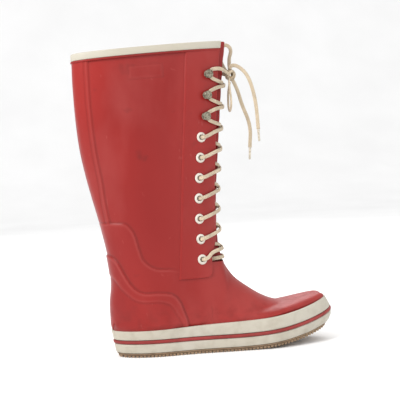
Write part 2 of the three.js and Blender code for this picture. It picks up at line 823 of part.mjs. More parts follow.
// ---- eyelets and hooks ----
function turned(profile, segments) {
  const points = profile.map(([radius, height]) => new THREE.Vector2(radius, height));
  const geometry = new THREE.LatheGeometry(points, segments);
  return geometry.rotateX(Math.PI / 2);
}

function seat(mesh, level, q) {
  const normal = normalAt(level, level, q);
  mesh.position.copy(surface(level, q));
  mesh.quaternion.setFromUnitVectors(new THREE.Vector3(0, 0, 1), normal);
}

const eyeletProfile = [
  [eyeletHole, innerFlangeBottom],
  [innerFlange, innerFlangeBottom],
  [innerFlange, innerFlangeTop],
  [eyeletTube, innerFlangeTop],
  [eyeletTube, overlayTop + gap],
  [eyeletFlange, overlayTop + gap],
  [eyeletFlange - 0.9, flangeTop],
  [eyeletHole, flangeTop],
  [eyeletHole, innerFlangeBottom],
];
const hookNeckLength = laceWidth + 2 * gap + 0.1;
const capBottom = flangeTop + hookNeckLength;
const hookProfile = [
  [0, innerFlangeBottom],
  [rivetFlange, innerFlangeBottom],
  [rivetFlange, innerFlangeTop],
  [hookNeck, innerFlangeTop],
  [hookNeck, overlayTop + gap],
  [rivetFlange, overlayTop + gap],
  [rivetFlange, flangeTop],
  [hookNeck, flangeTop],
  [hookNeck, capBottom],
  [hookCap, capBottom],
  [hookCap - 1.8, capBottom + hookCapHeight],
  [0, capBottom + hookCapHeight * 1.2],
];
sides.forEach(([name, side]) => {
  eyeletLevels.forEach((level, i) => {
    const eyelet = add(`eyelet_${name}_${i + 1}`, turned(eyeletProfile, lacingSides), paint);
    seat(eyelet, level, side * eyeletRound(level));
  });
  hookLevels.forEach((level, i) => {
    const hook = add(`hook_${name}_${i + 1}`, turned(hookProfile, lacingSides), nickel);
    seat(hook, level, side * hookRound(level));
  });
});

// ---- lace ----
// curve whose section is steered by a given outward direction at each of its points
class GuidedCurve extends THREE.CatmullRomCurve3 {
  constructor(stops) {
    super(stops.map((stop) => stop.at), false, "centripetal");
    this.out = new THREE.CatmullRomCurve3(stops.map((stop) => stop.out));
  }

  getSpacedPoints(divisions) {
    return this.getPoints(divisions);
  }

  computeFrenetFrames(segments) {
    const frames = { tangents: [], normals: [], binormals: [] };
    range(segments + 1).forEach((i) => {
      const tangent = this.getTangent(i / segments);
      const binormal = tangent.clone().cross(this.out.getPoint(i / segments)).normalize();
      frames.tangents.push(tangent);
      frames.binormals.push(binormal);
      frames.normals.push(binormal.clone().cross(tangent).normalize());
    });
    return frames;
  }
}

function laceSection(sides) {
  const corner = (k) => {
    const angle = (2 * Math.PI * k) / sides;
    return new THREE.Vector2((laceThickness / 2) * Math.cos(angle), (laceWidth / 2) * Math.sin(angle));
  };
  return new THREE.Shape(range(sides).map(corner));
}

function laceAlong(stops, sides, stepsPerStop) {
  const steps = (stops.length - 1) * stepsPerStop;
  const path = new GuidedCurve(stops);
  return new THREE.ExtrudeGeometry(laceSection(sides), { steps, bevelEnabled: false, extrudePath: path });
}

// stop on the boot: level, place round the boot, height over the leg's surface
function stop(level, q, offset, flip) {
  const at = surface(level, q, offset);
  return { at, out: normalAt(level, level, q).multiplyScalar(flip) };
}

const crossingLow = tongueProud + 2 * gap + laceThickness / 2;
const crossingHigh = crossingLow + laceThickness + gap + 0.2;
const turnForward = 6.5; // where a strand has turned towards the front after its hole

function forwardOf(level, distance) {
  return roundAt(level, legFront(level) - distance);
}

// one strand climbs from an eyelet to the next on the other side, over and then under the facings
function crossing(level, side, flip, high) {
  const at = (share, q, offset) => stop(level + share * eyeletPitch, q, offset, flip);
  const edge = slitEdge(level + eyeletPitch * 0.3);
  const farEdge = slitEdge(level + eyeletPitch * 0.75);
  const middle = high ? crossingHigh : crossingLow;
  return [
    at(0.05, side * forwardOf(level, eyeletSetback - turnForward), laceOver + 0.1),
    at(0.27, side * (edge + 0.02), overlayTop + laceThickness + 0.2),
    at(0.38, side * edge * 0.55, middle + 0.6 + 1.2 * throatFlare(level)),
    at(0.5, 0, middle),
    at(0.6, -side * farEdge * 0.42, high ? middle * 0.6 : crossingLow),
    at(0.76, -side * (farEdge + 0.005), laceUnder - 0.5),
    at(0.93, -side * forwardOf(level + eyeletPitch, eyeletSetback - turnForward), laceUnder - 0.5),
  ];
}

// through an eyelet from inside to outside
function throughEyelet(level, side, flip) {
  const q = side * eyeletRound(level);
  const normal = normalAt(level, level, q);
  const centre = surface(level, q);
  const ahead = surface(level, side * forwardOf(level, eyeletSetback - 2)).sub(centre).normalize();
  const place = (offset, forward, out) => ({
    at: centre.clone().addScaledVector(normal, offset).addScaledVector(ahead, forward),
    out,
  });
  const inward = normal.clone().multiplyScalar(flip);
  const back = ahead.clone().multiplyScalar(flip);
  return [
    place(laceUnder + 0.2, 1.4, inward.clone().lerp(back, 0.5)),
    place(-1, 0, back),
    place(1.2, 0, back),
    place(laceOver - 0.2, 1.2, inward.clone().multiplyScalar(-1).lerp(back, 0.5)),
  ];
}

// round the back of a hook's neck, from below to above
const wrapRadius = hookNeck + gap + laceThickness / 2 + 0.15;
const wrapOffset = flangeTop + gap + laceWidth / 2;
function roundHook(level, side) {
  const q = side * hookRound(level);
  const normal = normalAt(level, level, q);
  const centre = surface(level, q, wrapOffset);
  const up = new THREE.Vector3(0, 0, 1).projectOnPlane(normal).normalize();
  const behind = up.clone().cross(normal).multiplyScalar(-side).normalize();
  return [-65, 0, 65].map((degrees) => {
    const angle = THREE.MathUtils.degToRad(degrees);
    const out = behind.clone().multiplyScalar(Math.cos(angle)).addScaledVector(up, Math.sin(angle));
    return { at: centre.clone().addScaledVector(out, wrapRadius), out };
  });
}

function betweenHooks(level, side, flip, high) {
  const at = (share, q, offset) => stop(level + share * eyeletPitch, q, offset, flip);
  const edge = slitEdge(level + eyeletPitch * 0.3);
  const middle = high ? crossingHigh : crossingLow;
  const farLevel = level + eyeletPitch;
  return [
    at(0.22, side * forwardOf(level, hookSetback - 6), wrapOffset - 0.6),
    at(0.36, side * (edge + 0.01), overlayTop + laceThickness),
    at(0.42, side * edge * 0.55, middle + 0.6),
    at(0.5, 0, middle),
    at(0.58, -side * edge * 0.55, middle + 0.6),
    at(0.64, -side * (edge + 0.01), overlayTop + laceThickness),
    at(0.78, -side * forwardOf(farLevel, hookSetback - 6), wrapOffset - 0.6),
  ];
}

// half of the lacing: climbs from the lowest eyelet of one side to the knot
function strand(firstSide) {
  const stops = [];
  let side = firstSide;
  let flip = 1;
  eyeletLevels.forEach((level, i) => {
    stops.push(...throughEyelet(level, side, flip));
    flip *= -1;
    const high = side < 0;
    if (i < eyeletCount - 1) stops.push(...crossing(level, side, flip, high));
    else stops.push(...lastCrossing(level, side, flip, high));
    side *= -1;
  });
  hookLevels.forEach((level, i) => {
    stops.push(...roundHook(level, side));
    if (i < hookCount - 1) stops.push(...betweenHooks(level, side, flip, side < 0));
    else stops.push(...toKnot(level, side, flip));
    side *= -1;
  });
  return stops;
}

function lastCrossing(level, side, flip, high) {
  const at = (share, q, offset) => stop(level + share * eyeletPitch, q, offset, flip);
  const edge = slitEdge(level + eyeletPitch * 0.3);
  const middle = high ? crossingHigh : crossingLow;
  return [
    at(0.05, side * forwardOf(level, eyeletSetback - turnForward), laceOver + 0.1),
    at(0.27, side * (edge + 0.02), overlayTop + laceThickness + 0.2),
    at(0.38, side * edge * 0.55, middle + 0.6),
    at(0.5, 0, middle),
    at(0.58, -side * edge * 0.55, middle + 0.6),
    at(0.64, -side * (edge + 0.01), overlayTop + laceThickness),
    at(0.78, -side * forwardOf(level + eyeletPitch, hookSetback - 6), wrapOffset - 0.6),
  ];
}

const knotSize = new THREE.Vector3(6, 7, 6.5);
const knotCentre = surface(hookLevels.at(-1) - 1.5, 0).add(new THREE.Vector3(knotSize.x + 4.3, -3, 0));
function toKnot(level, side, flip) {
  const entry = knotCentre.clone().add(new THREE.Vector3(-3.5, side * (knotSize.y + 1.2) * 0.9, 1));
  return [
    stop(level + 0.21 * eyeletPitch, side * forwardOf(level, hookSetback - 6), wrapOffset - 0.6, flip),
    stop(level + 0.22 * eyeletPitch, side * slitEdge(level), overlayTop + 3.2, flip),
    { at: entry, out: new THREE.Vector3(flip, 0, 0) },
  ];
}

// straight bar in front of the tongue between the two lowest eyelets
function bottomBar() {
  const level = eyeletLevels[0];
  const at = (share, offset) => stop(level, slitEdge(level) * share, offset, 1);
  const inFront = crossingLow + 2 * gap;
  return [
    at(1, laceUnder - 0.1),
    at(0.8, -1.4),
    at(0.5, inFront),
    at(0, inFront),
    at(-0.5, inFront),
    at(-0.8, -1.4),
    at(-1, laceUnder - 0.1),
  ];
}

const held = [...strand(-1).toReversed(), ...bottomBar().toReversed(), ...strand(1)];
add("lace", laceAlong(held, 6, 1), cotton);

const knot = new THREE.SphereGeometry(1, 12, 8).scale(...knotSize).translate(...knotCentre);
add("bow_knot", knot, cotton);

// ---- free ends of the lace: routes as distances from the middle of the knot ----
const forward = new THREE.Vector3(1, 0, 0);
const outward = new THREE.Vector3(0, -1, 0);
const lateralLoop = [
  [-3, -5.8, -5.4], [-3.9, -8.2, -8.6], [-4.5, -10.6, -12.4], [-4.9, -12.9, -17], [-5, -15.2, -22.2],
  [-5, -17, -27.4], [-5, -18, -32.6], [-5, -17.8, -37.4], [-5, -15.4, -41.8], [-5, -11.4, -44.6],
  [-5, -7.2, -44.9], [-5, -3.8, -42.4], [-4.8, -1.8, -37.6], [-4.5, -1, -31.6], [-4.1, -0.6, -25.4],
  [-3.4, -0.7, -19.4], [-2.4, -1.1, -13.8], [-1.2, -1.5, -9.2],
];
const medialLoop = [
  [1, 5.2, 6.4], [1.3, 7.2, 9.9], [1.6, 9, 14], [2.2, 10.6, 18.4], [3, 12, 23], [4.6, 12.9, 27.4],
  [5.6, 13.6, 31.6], [5, 14.3, 35.6], [2.6, 15, 38.6], [-1, 15.5, 39.8], [-4.6, 15.8, 38],
  [-7.2, 15.9, 34.2], [-8.4, 15.5, 29.4], [-8.6, 14.9, 24.6], [-8, 13.8, 19.6], [-6.9, 12.1, 14.8],
  [-5.5, 9.9, 10.4], [-4.2, 7.7, 6.8],
];
const upperTail = [
  [-1, -3.2, 7.6], [-0.4, -4.6, 10], [2.2, -6.4, 11.4], [5.4, -7.8, 11], [8.8, -9, 9.2],
  [12.2, -10, 6.4], [15.6, -10.8, 2.8], [18.6, -11.3, -1.6], [21.2, -11.7, -7], [23.3, -12, -13],
  [25.2, -12, -20], [26.8, -12, -27.6], [28.1, -12, -36], [29, -12, -44.6], [29.5, -12, -53],
  [29.8, -12, -62], [30.1, -12, -70.8],
];
const lowerTail = [
  [2.6, -1, -6.6], [4.2, -1, -10], [6, -1, -14.2], [7.8, -1.1, -19], [9.4, -1.2, -24.2],
  [10.8, -1.3, -29.6], [12.2, -1.4, -35], [13.9, -1.5, -40.4], [15.9, -1.4, -45.8],
  [18, -1.3, -51.2], [19.9, -1.2, -56.8], [21.4, -1.1, -62.8], [22.2, -1, -69],
  [22.4, -1, -75.2], [21.9, -1, -81.4], [21.3, -1, -87.6], [20.9, -1, -93.2],
];
function freeCord(name, route, out) {
  const stops = route.map((point) => ({ at: new THREE.Vector3(...point).add(knotCentre), out }));
  add(name, laceAlong(stops, 8, 1), cotton);
  return stops;
}
freeCord("lace_loop_lateral", lateralLoop, forward);
freeCord("lace_loop_medial", medialLoop, outward);

const agletRadius = 1.6;
const agletLength = 15;
[["upper", upperTail], ["lower", lowerTail]].forEach(([name, route]) => {
  const stops = freeCord(`lace_tail_${name}`, route, outward);
  const end = stops.at(-1).at;
  const along = end.clone().sub(stops.at(-2).at).normalize();
  const middle = end.clone().addScaledVector(along, gap + agletLength / 2);
  add(`aglet_${name}`, bar(agletRadius, agletLength, middle, along, 8), clear);
});

export default group;
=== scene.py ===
# Looks of the rubber rain boot, in metres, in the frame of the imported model.
# Surfaces are worked out in millimetres and scaled when a mesh is made.
import bpy
import json
import math
import numpy as np
from mathutils import Matrix, Vector

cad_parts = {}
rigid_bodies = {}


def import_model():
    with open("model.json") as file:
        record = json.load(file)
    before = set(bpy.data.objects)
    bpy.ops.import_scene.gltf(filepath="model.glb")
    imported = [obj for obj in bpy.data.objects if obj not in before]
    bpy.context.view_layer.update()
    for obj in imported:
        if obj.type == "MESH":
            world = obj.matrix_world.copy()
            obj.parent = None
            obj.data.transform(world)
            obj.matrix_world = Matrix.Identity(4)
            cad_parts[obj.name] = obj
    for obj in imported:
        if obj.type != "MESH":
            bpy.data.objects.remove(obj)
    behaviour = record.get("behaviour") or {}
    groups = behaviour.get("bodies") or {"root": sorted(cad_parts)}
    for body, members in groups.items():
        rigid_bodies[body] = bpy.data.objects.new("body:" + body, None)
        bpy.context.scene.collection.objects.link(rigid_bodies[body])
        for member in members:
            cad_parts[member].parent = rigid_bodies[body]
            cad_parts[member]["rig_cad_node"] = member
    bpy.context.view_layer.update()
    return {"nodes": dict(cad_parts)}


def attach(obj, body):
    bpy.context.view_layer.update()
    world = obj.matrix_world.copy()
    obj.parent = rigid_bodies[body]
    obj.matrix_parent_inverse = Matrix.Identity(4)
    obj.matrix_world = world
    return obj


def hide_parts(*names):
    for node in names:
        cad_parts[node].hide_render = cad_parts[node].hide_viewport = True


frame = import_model()

MM = 0.001

# ---- camera, at the photograph's viewing angle ----
CAMERA_DISTANCE = 1.25
CAMERA_TURN = math.radians(12)  # towards the heel from square on to the outer side
CAMERA_HEIGHT = 0.238
CAMERA_ROLL = math.radians(3)
TARGET = Vector((0.050, 0, 0.189))
FOCAL = 88.6


def make_camera():
    place = Vector((
        TARGET.x - CAMERA_DISTANCE * math.sin(CAMERA_TURN),
        -CAMERA_DISTANCE * math.cos(CAMERA_TURN),
        CAMERA_HEIGHT,
    ))
    data = bpy.data.cameras.new("camera")
    data.lens = FOCAL
    data.sensor_width = 36
    camera = bpy.data.objects.new("camera", data)
    look = (TARGET - place).to_track_quat("-Z", "Y").to_matrix()
    rolled = look @ Matrix.Rotation(-CAMERA_ROLL, 3, "Z")
    camera.matrix_world = Matrix.Translation(place) @ rolled.to_4x4()
    bpy.context.scene.collection.objects.link(camera)
    bpy.context.scene.camera = camera


make_camera()

# ---- sizes of the CAD, in millimetres ----
FOOT_LENGTH = 288
LEG_TOP = 383
TOE_SPRING = 21
TOE_SPRING_START = 80
RIM_SLOPE = 0.056
WALL = 2
GAP = 0.3
OVERLAY = 1.6
PLATE_TOP = 5.2
LOWER_BAND = (5.5, 16.9)
STRIPE = (17.2, 21.4)
UPPER_BAND_BOTTOM = 21.7
FOXING_HEEL_TOP = 33.5
FOXING_TOE_TOP = 37.5
FOXING_THICKNESS = 3.4
UPPER_BASE = 12.4
EYELETS = 7
HOOKS = 3
LOWEST_EYELET = 116.5
PITCH = 25.2
EYELET_SETBACK = 28.5
HOOK_SETBACK = 25.2
THROAT = 112
SLIT_HALF = 15.5
FACING_BOTTOM = 93.5
BAND_HEIGHT = 9
PIPING = 1.2
UPPER_INSET = FOXING_THICKNESS + GAP + 0.5
HEEL_END = -72
TOE_END = HEEL_END + FOOT_LENGTH


# ---- the boot's surface, as in the CAD, for whole arrays of points ----
def curve(points):
    """Smooth curve through a few points, without overshoot."""
    x, y = (np.array(values, float) for values in zip(*points))
    steps = np.diff(y) / np.diff(x)
    slopes = np.zeros(len(x))
    slopes[0], slopes[-1] = steps[0], steps[-1]
    for i in range(1, len(x) - 1):
        left, right = steps[i - 1], steps[i]
        if left * right > 0:
            slopes[i] = 2 * left * right / (left + right)

    def at(place):
        place = np.clip(np.asarray(place, float), x[0], x[-1])
        i = np.clip(np.searchsorted(x, place) - 1, 0, len(x) - 2)
        span = x[i + 1] - x[i]
        t = (place - x[i]) / span
        rest = 1 - t
        start = (1 + 2 * t) * rest ** 2 * y[i] + t * rest ** 2 * span * slopes[i]
        return start + t * t * (3 - 2 * t) * y[i + 1] - t * t * rest * span * slopes[i + 1]

    return at


def smoothstep(low, high, x):
    t = np.clip((np.asarray(x, float) - low) / (high - low), 0, 1)
    return t * t * (3 - 2 * t)


back_profile = curve([
    (12, -66), (28, -67.2), (34, -69), (42, -70.2), (62, -70.4), (92, -67.4), (122, -70),
    (152, -75), (173, -79.5), (198, -85.6), (230, -92.4), (261, -97.3), (292, -100), (323, -101.6),
    (355, -102), (383, -101.6),
])
leg_front = curve([
    (12, 68), (100, 69.5), (125, 70.3), (150, 69.5), (189, 70.6), (252, 76.6), (315, 83.5),
    (355, 88.5), (383, 93),
])
ridge_front = curve([
    (12, 210.5), (21, 210), (29, 207.5), (34.5, 204.5), (39, 199), (42.5, 190), (44.5, 178),
    (46, 165), (49, 150), (54.5, 136), (64, 120), (74.5, 106), (88, 90), (98, 82), (110, 75.5),
    (124, 71.5), (135, 68), (150, 58), (168, 40), (190, 0), (215, -75),
])
leg_half_width = curve([
    (12, 30), (60, 32), (100, 34.5), (150, 35.5), (200, 34), (260, 32), (320, 30.5), (383, 30),
])
lateral_sole = curve([(0, 53), (0.15, 47.5), (0.35, 39), (0.55, 45), (0.75, 57), (1, 57)])
medial_sole = curve([
    (0, 53), (0.15, 45.5), (0.35, 34.5), (0.5, 35.5), (0.65, 48), (0.8, 60), (1, 75),
])
heel_draft = curve([(0, 9), (5, 5.5), (10, 4.5), (17, 3.4), (25, 2.2), (33, 0.6), (40, 0)])
toe_draft = curve([(0, 11), (5, 4.5), (10, 1), (14, 0), (21, 1), (30, 4.5), (37.5, 8)])
ridge_levels = np.linspace(UPPER_BASE, 215, 3000)
ridge_places = ridge_front(ridge_levels)


def foxing_top(x):
    return FOXING_HEEL_TOP + (FOXING_TOE_TOP - FOXING_HEEL_TOP) * smoothstep(-40, 120, x)


def release(x, z):
    return 1.2 * np.maximum(0, z - foxing_top(x))


def leg_back(z):
    in_foxing = HEEL_END + heel_draft(z) + UPPER_INSET
    return np.maximum(back_profile(z), in_foxing - release(HEEL_END, z))


def front(z):
    return np.maximum(leg_front(z), ridge_front(z))


def ridge_height(x):
    return np.interp(x, ridge_places[::-1], ridge_levels[::-1])


def sole_fullness(x, side):
    share = np.clip((x - HEEL_END) / FOOT_LENGTH, 0, 1)
    return np.where(side < 0, lateral_sole(share), medial_sole(share))


def sole_half(x, z, side, inset):
    start = HEEL_END + heel_draft(z) + inset
    end = TOE_END - toe_draft(z) - inset
    share = np.clip((x - start) / (end - start), 0, 1)
    full = sole_fullness(x, side) - inset - heel_draft(z) * 0.25
    return full * 2 * np.sqrt(share * (1 - share))


def half_width(x, z, side):
    back, shaft = leg_back(z), leg_front(z)
    u = (2 * x - back - shaft) / (shaft - back)
    leg = leg_half_width(z) * np.maximum(0, 1 - u * u) ** 0.4
    share = np.clip((x - back) / (ridge_front(UPPER_BASE) - back), 0, 1)
    plan = np.maximum(0, (sole_fullness(x, side) - UPPER_INSET) * 2 * np.sqrt(share * (1 - share)))
    rise = np.clip((z - UPPER_BASE) / (ridge_height(x) - UPPER_BASE), 0, 1)
    foot = plan * np.sqrt(1 - rise ** 2.4)
    free = (leg ** 5 + foot ** 5) ** 0.2
    limit = sole_half(x, np.minimum(z, foxing_top(x)), side, UPPER_INSET) + release(x, z)
    solid = (free > 0) & (limit > 0)
    low = np.minimum(free, limit)
    ratio = low / np.maximum(np.maximum(free, limit), 1e-9)
    return np.where(solid, low * (1 + ratio ** 20) ** -0.05, 0)


def bend(x, y, z, level):
    reach = np.maximum(0, (x - TOE_SPRING_START) / (TOE_END - TOE_SPRING_START))
    rim = smoothstep(LEG_TOP - 130, LEG_TOP, level) * RIM_SLOPE * x
    return np.stack([x, y, z + TOE_SPRING * reach * reach + rim], -1)


def flat_point(back, ahead, q):
    side = np.where(((q < 0) & (q >= -1)) | (q > 1), -1.0, 1.0)
    share = (1 + np.cos(np.pi * q)) / 2
    start = leg_back(back)
    x = start + (front(ahead) - start) * share
    z = back + (ahead - back) * share
    return np.stack([x, side * half_width(x, z, side), z], -1)


def unit(v):
    return v / np.maximum(np.linalg.norm(v, axis=-1, keepdims=True), 1e-9)


def normal_at(back, ahead, q):
    around = flat_point(back, ahead, q + 0.01) - flat_point(back, ahead, q - 0.01)
    up = flat_point(back + 0.6, ahead + 0.6, q) - flat_point(back - 0.6, ahead - 0.6, q)
    return unit(np.cross(around, up))


def surface(level, q, offset=0.0, ahead=None):
    """Points of the boot's surface, moved outwards by offset."""
    level, q, offset = np.broadcast_arrays(*(np.asarray(v, float) for v in (level, q, offset)))
    ahead = level if ahead is None else np.broadcast_to(ahead, level.shape)
    p = flat_point(level, ahead, q) + normal_at(level, ahead, q) * offset[..., None]
    return bend(p[..., 0], p[..., 1], p[..., 2], level)


def round_at(level, x, ahead=None):
    """The place round the boot where the surface has this x."""
    start = leg_back(level)
    end = front(level if ahead is None else ahead)
    return np.arccos(2 * np.clip((x - start) / (end - start), 0, 1) - 1) / np.pi


def round_at_width(level, y):
    """The place round the front of the boot where the surface is y to the side."""
    low, high = np.zeros(np.shape(level)), np.full(np.shape(level), 0.5)
    for _ in range(24):
        middle = (low + high) / 2
        inside = np.abs(flat_point(level, level, middle)[..., 1]) < y
        low, high = np.where(inside, middle, low), np.where(inside, high, middle)
    return high


seam_edge = curve([(12, 50), (THROAT - 2, 55.5)])


def throat_flare(level):
    return 1 - smoothstep(THROAT, THROAT + 38, level)


def slit_edge(level):
    level = np.asarray(level, float)
    high = round_at_width(level, SLIT_HALF)
    wide = round_at(THROAT, seam_edge(THROAT))
    return high + (wide - high) * throat_flare(level)


# ---- meshes ----
def new_object(name, points, faces, body="boot", smooth=True):
    mesh = bpy.data.meshes.new(name)
    mesh.from_pydata([tuple(p) for p in np.asarray(points) * MM], [], faces)
    mesh.validate()
    if smooth:
        mesh.shade_smooth()
    made = bpy.data.objects.new(name, mesh)
    bpy.context.scene.collection.objects.link(made)
    if body:
        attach(made, body)
    return made


def grid_faces(rows, columns, wrap=False, keep=None):
    faces = []
    last = columns if wrap else columns - 1
    for i in range(rows - 1):
        for j in range(last):
            if keep is not None and not keep[i, j]:
                continue
            k = (j + 1) % columns
            at = i * columns
            faces.append((at + j, at + k, at + columns + k, at + columns + j))
    return faces


def grid_object(name, points, body="boot", wrap=False, keep=None, flip=False):
    rows, columns = points.shape[:2]
    faces = grid_faces(rows, columns, wrap, keep=keep)
    if flip:
        faces = [face[::-1] for face in faces]
    return new_object(name, points.reshape(-1, 3), faces, body)


# ---- tubes swept along a route, with a flat oval section ----
def catmull(points, steps):
    """Centripetal Catmull-Rom through the points; steps samples for each stretch."""
    points = np.asarray(points, float)
    first, last = 2 * points[0] - points[1], 2 * points[-1] - points[-2]
    p = np.vstack([first, points, last])
    out = []
    for i in range(1, len(p) - 2):
        a, b, c, d = p[i - 1:i + 3]
        ab, bc, cd = (max(np.linalg.norm(v) ** 0.5, 1e-4) for v in (b - a, c - b, d - c))
        start = bc * ((b - a) / ab - (c - a) / (ab + bc) + (c - b) / bc)
        end = bc * ((c - b) / bc - (d - b) / (bc + cd) + (d - c) / cd)
        for k in range(steps):
            t = k / steps
            t2, t3 = t * t, t * t * t
            out.append(
                (2 * t3 - 3 * t2 + 1) * b + (t3 - 2 * t2 + t) * start
                + (3 * t2 - 2 * t3) * c + (t3 - t2) * end
            )
    out.append(points[-1])
    return np.array(out)


LACE_WIDTH = 4.7
LACE_THICKNESS = 2.3
LACE_SIDES = 16


def sweep(name, path, out, width=LACE_WIDTH, thickness=LACE_THICKNESS, body="boot", closed=False):
    path = np.asarray(path, float)
    if closed:
        tangent = np.roll(path, -1, 0) - np.roll(path, 1, 0)
    else:
        tangent = np.gradient(path, axis=0)
    tangent = unit(tangent)
    across = unit(np.cross(tangent, out))
    normal = np.cross(across, tangent)
    angle = np.linspace(0, 2 * np.pi, LACE_SIDES, endpoint=False)
    oval = np.stack([np.cos(angle), np.sin(angle)], 1)
    oval = np.sign(oval) * np.abs(oval) ** 0.8
    rings = (
        path[:, None]
        + normal[:, None] * (oval[None, :, :1] * thickness / 2)
        + across[:, None] * (oval[None, :, 1:] * width / 2)
    )
    count = len(path)
    points = rings.reshape(-1, 3)
    faces = grid_faces(count, LACE_SIDES, wrap=True)
    if closed:
        for j in range(LACE_SIDES):
            k = (j + 1) % LACE_SIDES
            at = (count - 1) * LACE_SIDES
            faces.append((at + j, at + k, k, j))
    else:
        faces.append(tuple(range(LACE_SIDES - 1, -1, -1)))
        faces.append(tuple((count - 1) * LACE_SIDES + j for j in range(LACE_SIDES)))
    made = new_object(name, points, faces, body)
    along = np.concatenate([[0], np.cumsum(np.linalg.norm(np.diff(path, axis=0), axis=1))])
    layer = made.data.uv_layers.new(name="weave")
    for polygon in made.data.polygons:
        js = [made.data.loops[i].vertex_index % LACE_SIDES for i in polygon.loop_indices]
        seam = max(js) - min(js) > LACE_SIDES / 2
        for i, j in zip(polygon.loop_indices, js):
            v = j + LACE_SIDES if seam and j < LACE_SIDES / 2 else j
            ring = made.data.loops[i].vertex_index // LACE_SIDES
            layer.data[i].uv = (along[ring] / 4, v / LACE_SIDES)
    return made


# ---- free ends of the lace, as distances from the middle of the knot ----
KNOT_LEVEL = LOWEST_EYELET + (EYELETS + HOOKS - 1) * PITCH - 1.5
KNOT_SIZE = np.array([6, 7, 6.5])
KNOT = surface(KNOT_LEVEL, 0.0) + np.array([KNOT_SIZE[0] + 4.3, -3, 0])
LOOP_LATERAL = [
    (-3, -5.8, -5.4), (-3.9, -8.2, -8.6), (-4.5, -10.6, -12.4), (-4.9, -12.9, -17),
    (-5, -15.2, -22.2), (-5, -17, -27.4), (-5, -18, -32.6), (-5, -17.8, -37.4),
    (-5, -15.4, -41.8), (-5, -11.4, -44.6), (-5, -7.2, -44.9), (-5, -3.8, -42.4),
    (-4.8, -1.8, -37.6), (-4.5, -1, -31.6), (-4.1, -0.6, -25.4), (-3.4, -0.7, -19.4),
    (-2.4, -1.1, -13.8), (-1.2, -1.5, -9.2),
]
LOOP_MEDIAL = [
    (1, 5.2, 6.4), (1.3, 7.2, 9.9), (1.6, 9, 14), (2.2, 10.6, 18.4), (3, 12, 23),
    (4.6, 12.9, 27.4), (5.6, 13.6, 31.6), (5, 14.3, 35.6), (2.6, 15, 38.6), (-1, 15.5, 39.8),
    (-4.6, 15.8, 38), (-7.2, 15.9, 34.2), (-8.4, 15.5, 29.4), (-8.6, 14.9, 24.6),
    (-8, 13.8, 19.6), (-6.9, 12.1, 14.8), (-5.5, 9.9, 10.4), (-4.2, 7.7, 6.8),
]
TAIL_UPPER = [
    (-1, -3.2, 7.6), (-0.4, -4.6, 10), (2.2, -6.4, 11.4), (5.4, -7.8, 11), (8.8, -9, 9.2),
    (12.2, -10, 6.4), (15.6, -10.8, 2.8), (18.6, -11.3, -1.6), (21.2, -11.7, -7),
    (23.3, -12, -13), (25.2, -12, -20), (26.8, -12, -27.6), (28.1, -12, -36), (29, -12, -44.6),
    (29.5, -12, -53), (29.8, -12, -62), (30.1, -12, -70.8),
]
TAIL_LOWER = [
    (2.6, -1, -6.6), (4.2, -1, -10), (6, -1, -14.2), (7.8, -1.1, -19), (9.4, -1.2, -24.2),
    (10.8, -1.3, -29.6), (12.2, -1.4, -35), (13.9, -1.5, -40.4), (15.9, -1.4, -45.8),
    (18, -1.3, -51.2), (19.9, -1.2, -56.8), (21.4, -1.1, -62.8), (22.2, -1, -69),
    (22.4, -1, -75.2), (21.9, -1, -81.4), (21.3, -1, -87.6), (20.9, -1, -93.2),
]
FORWARD = np.array([1.0, 0, 0])
OUTWARD = np.array([0, -1.0, 0])


def free_cord(node, route, out):
    path = catmull(np.array(route) + KNOT, 5)
    made = sweep(node + "_woven", path, np.broadcast_to(out, path.shape))
    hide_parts(node)
    return made


def aglet(name, route):
    """Clear lace end: a pinched sleeve over the last of the lace."""
    end, before = np.array(route[-1]) + KNOT, np.array(route[-2]) + KNOT
    along = unit(end - before)
    shape = [
        (0, 1.45), (0.3, 1.6), (1.2, 1.65), (4, 1.5), (9, 1.45), (13.5, 1.4), (14.6, 1.2), (15, 0.7),
    ]
    side = unit(np.cross(along, OUTWARD))
    front_way = np.cross(side, along)
    rings = []
    for place, radius in shape:
        angle = np.linspace(0, 2 * np.pi, 20, endpoint=False)[:, None]
        rings.append(
            end + along * (GAP + place)
            + radius * (np.cos(angle) * side + np.sin(angle) * front_way)
        )
    points = np.array(rings)
    faces = grid_faces(len(shape), 20, wrap=True)
    faces.append(tuple(range(19, -1, -1)))
    faces.append(tuple((len(shape) - 1) * 20 + j for j in range(20)))
    made = new_object(name + "_clear", points.reshape(-1, 3), faces)
    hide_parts(name)
    return made


aglets = [aglet("aglet_upper", TAIL_UPPER), aglet("aglet_lower", TAIL_LOWER)]
cords = [
    free_cord("lace_loop_lateral", LOOP_LATERAL, FORWARD),
    free_cord("lace_loop_medial", LOOP_MEDIAL, OUTWARD),
    free_cord("lace_tail_upper", TAIL_UPPER, OUTWARD),
    free_cord("lace_tail_lower", TAIL_LOWER, OUTWARD),
]


# ---- held lace: the same stops as the CAD ----
EYELET_LEVELS = [LOWEST_EYELET + i * PITCH for i in range(EYELETS)]
HOOK_LEVELS = [LOWEST_EYELET + (EYELETS + i) * PITCH for i in range(HOOKS)]
FLANGE_TOP = OVERLAY + GAP + 0.9
INNER_FLANGE_BOTTOM = -WALL - 1 - 0.9
LACE_UNDER = INNER_FLANGE_BOTTOM - GAP - 1
LACE_OVER = FLANGE_TOP + GAP + 1
TONGUE_PROUD = -0.5
TONGUE_RECESS = LACE_UNDER - 1 - 1.7
CROSSING_LOW = TONGUE_PROUD + 2 * GAP + 1
CROSSING_HIGH = CROSSING_LOW + 2 + GAP + 0.2
TURN_FORWARD = 6.5
WRAP_RADIUS = 2 + GAP + 1 + 0.15
WRAP_OFFSET = FLANGE_TOP + GAP + 2


def stop(level, q, offset, flip):
    place = np.float64(level)
    return surface(level, q, offset), normal_at(place, place, np.float64(q)) * flip


def forward_of(level, distance):
    return float(round_at(level, leg_front(level) - distance))


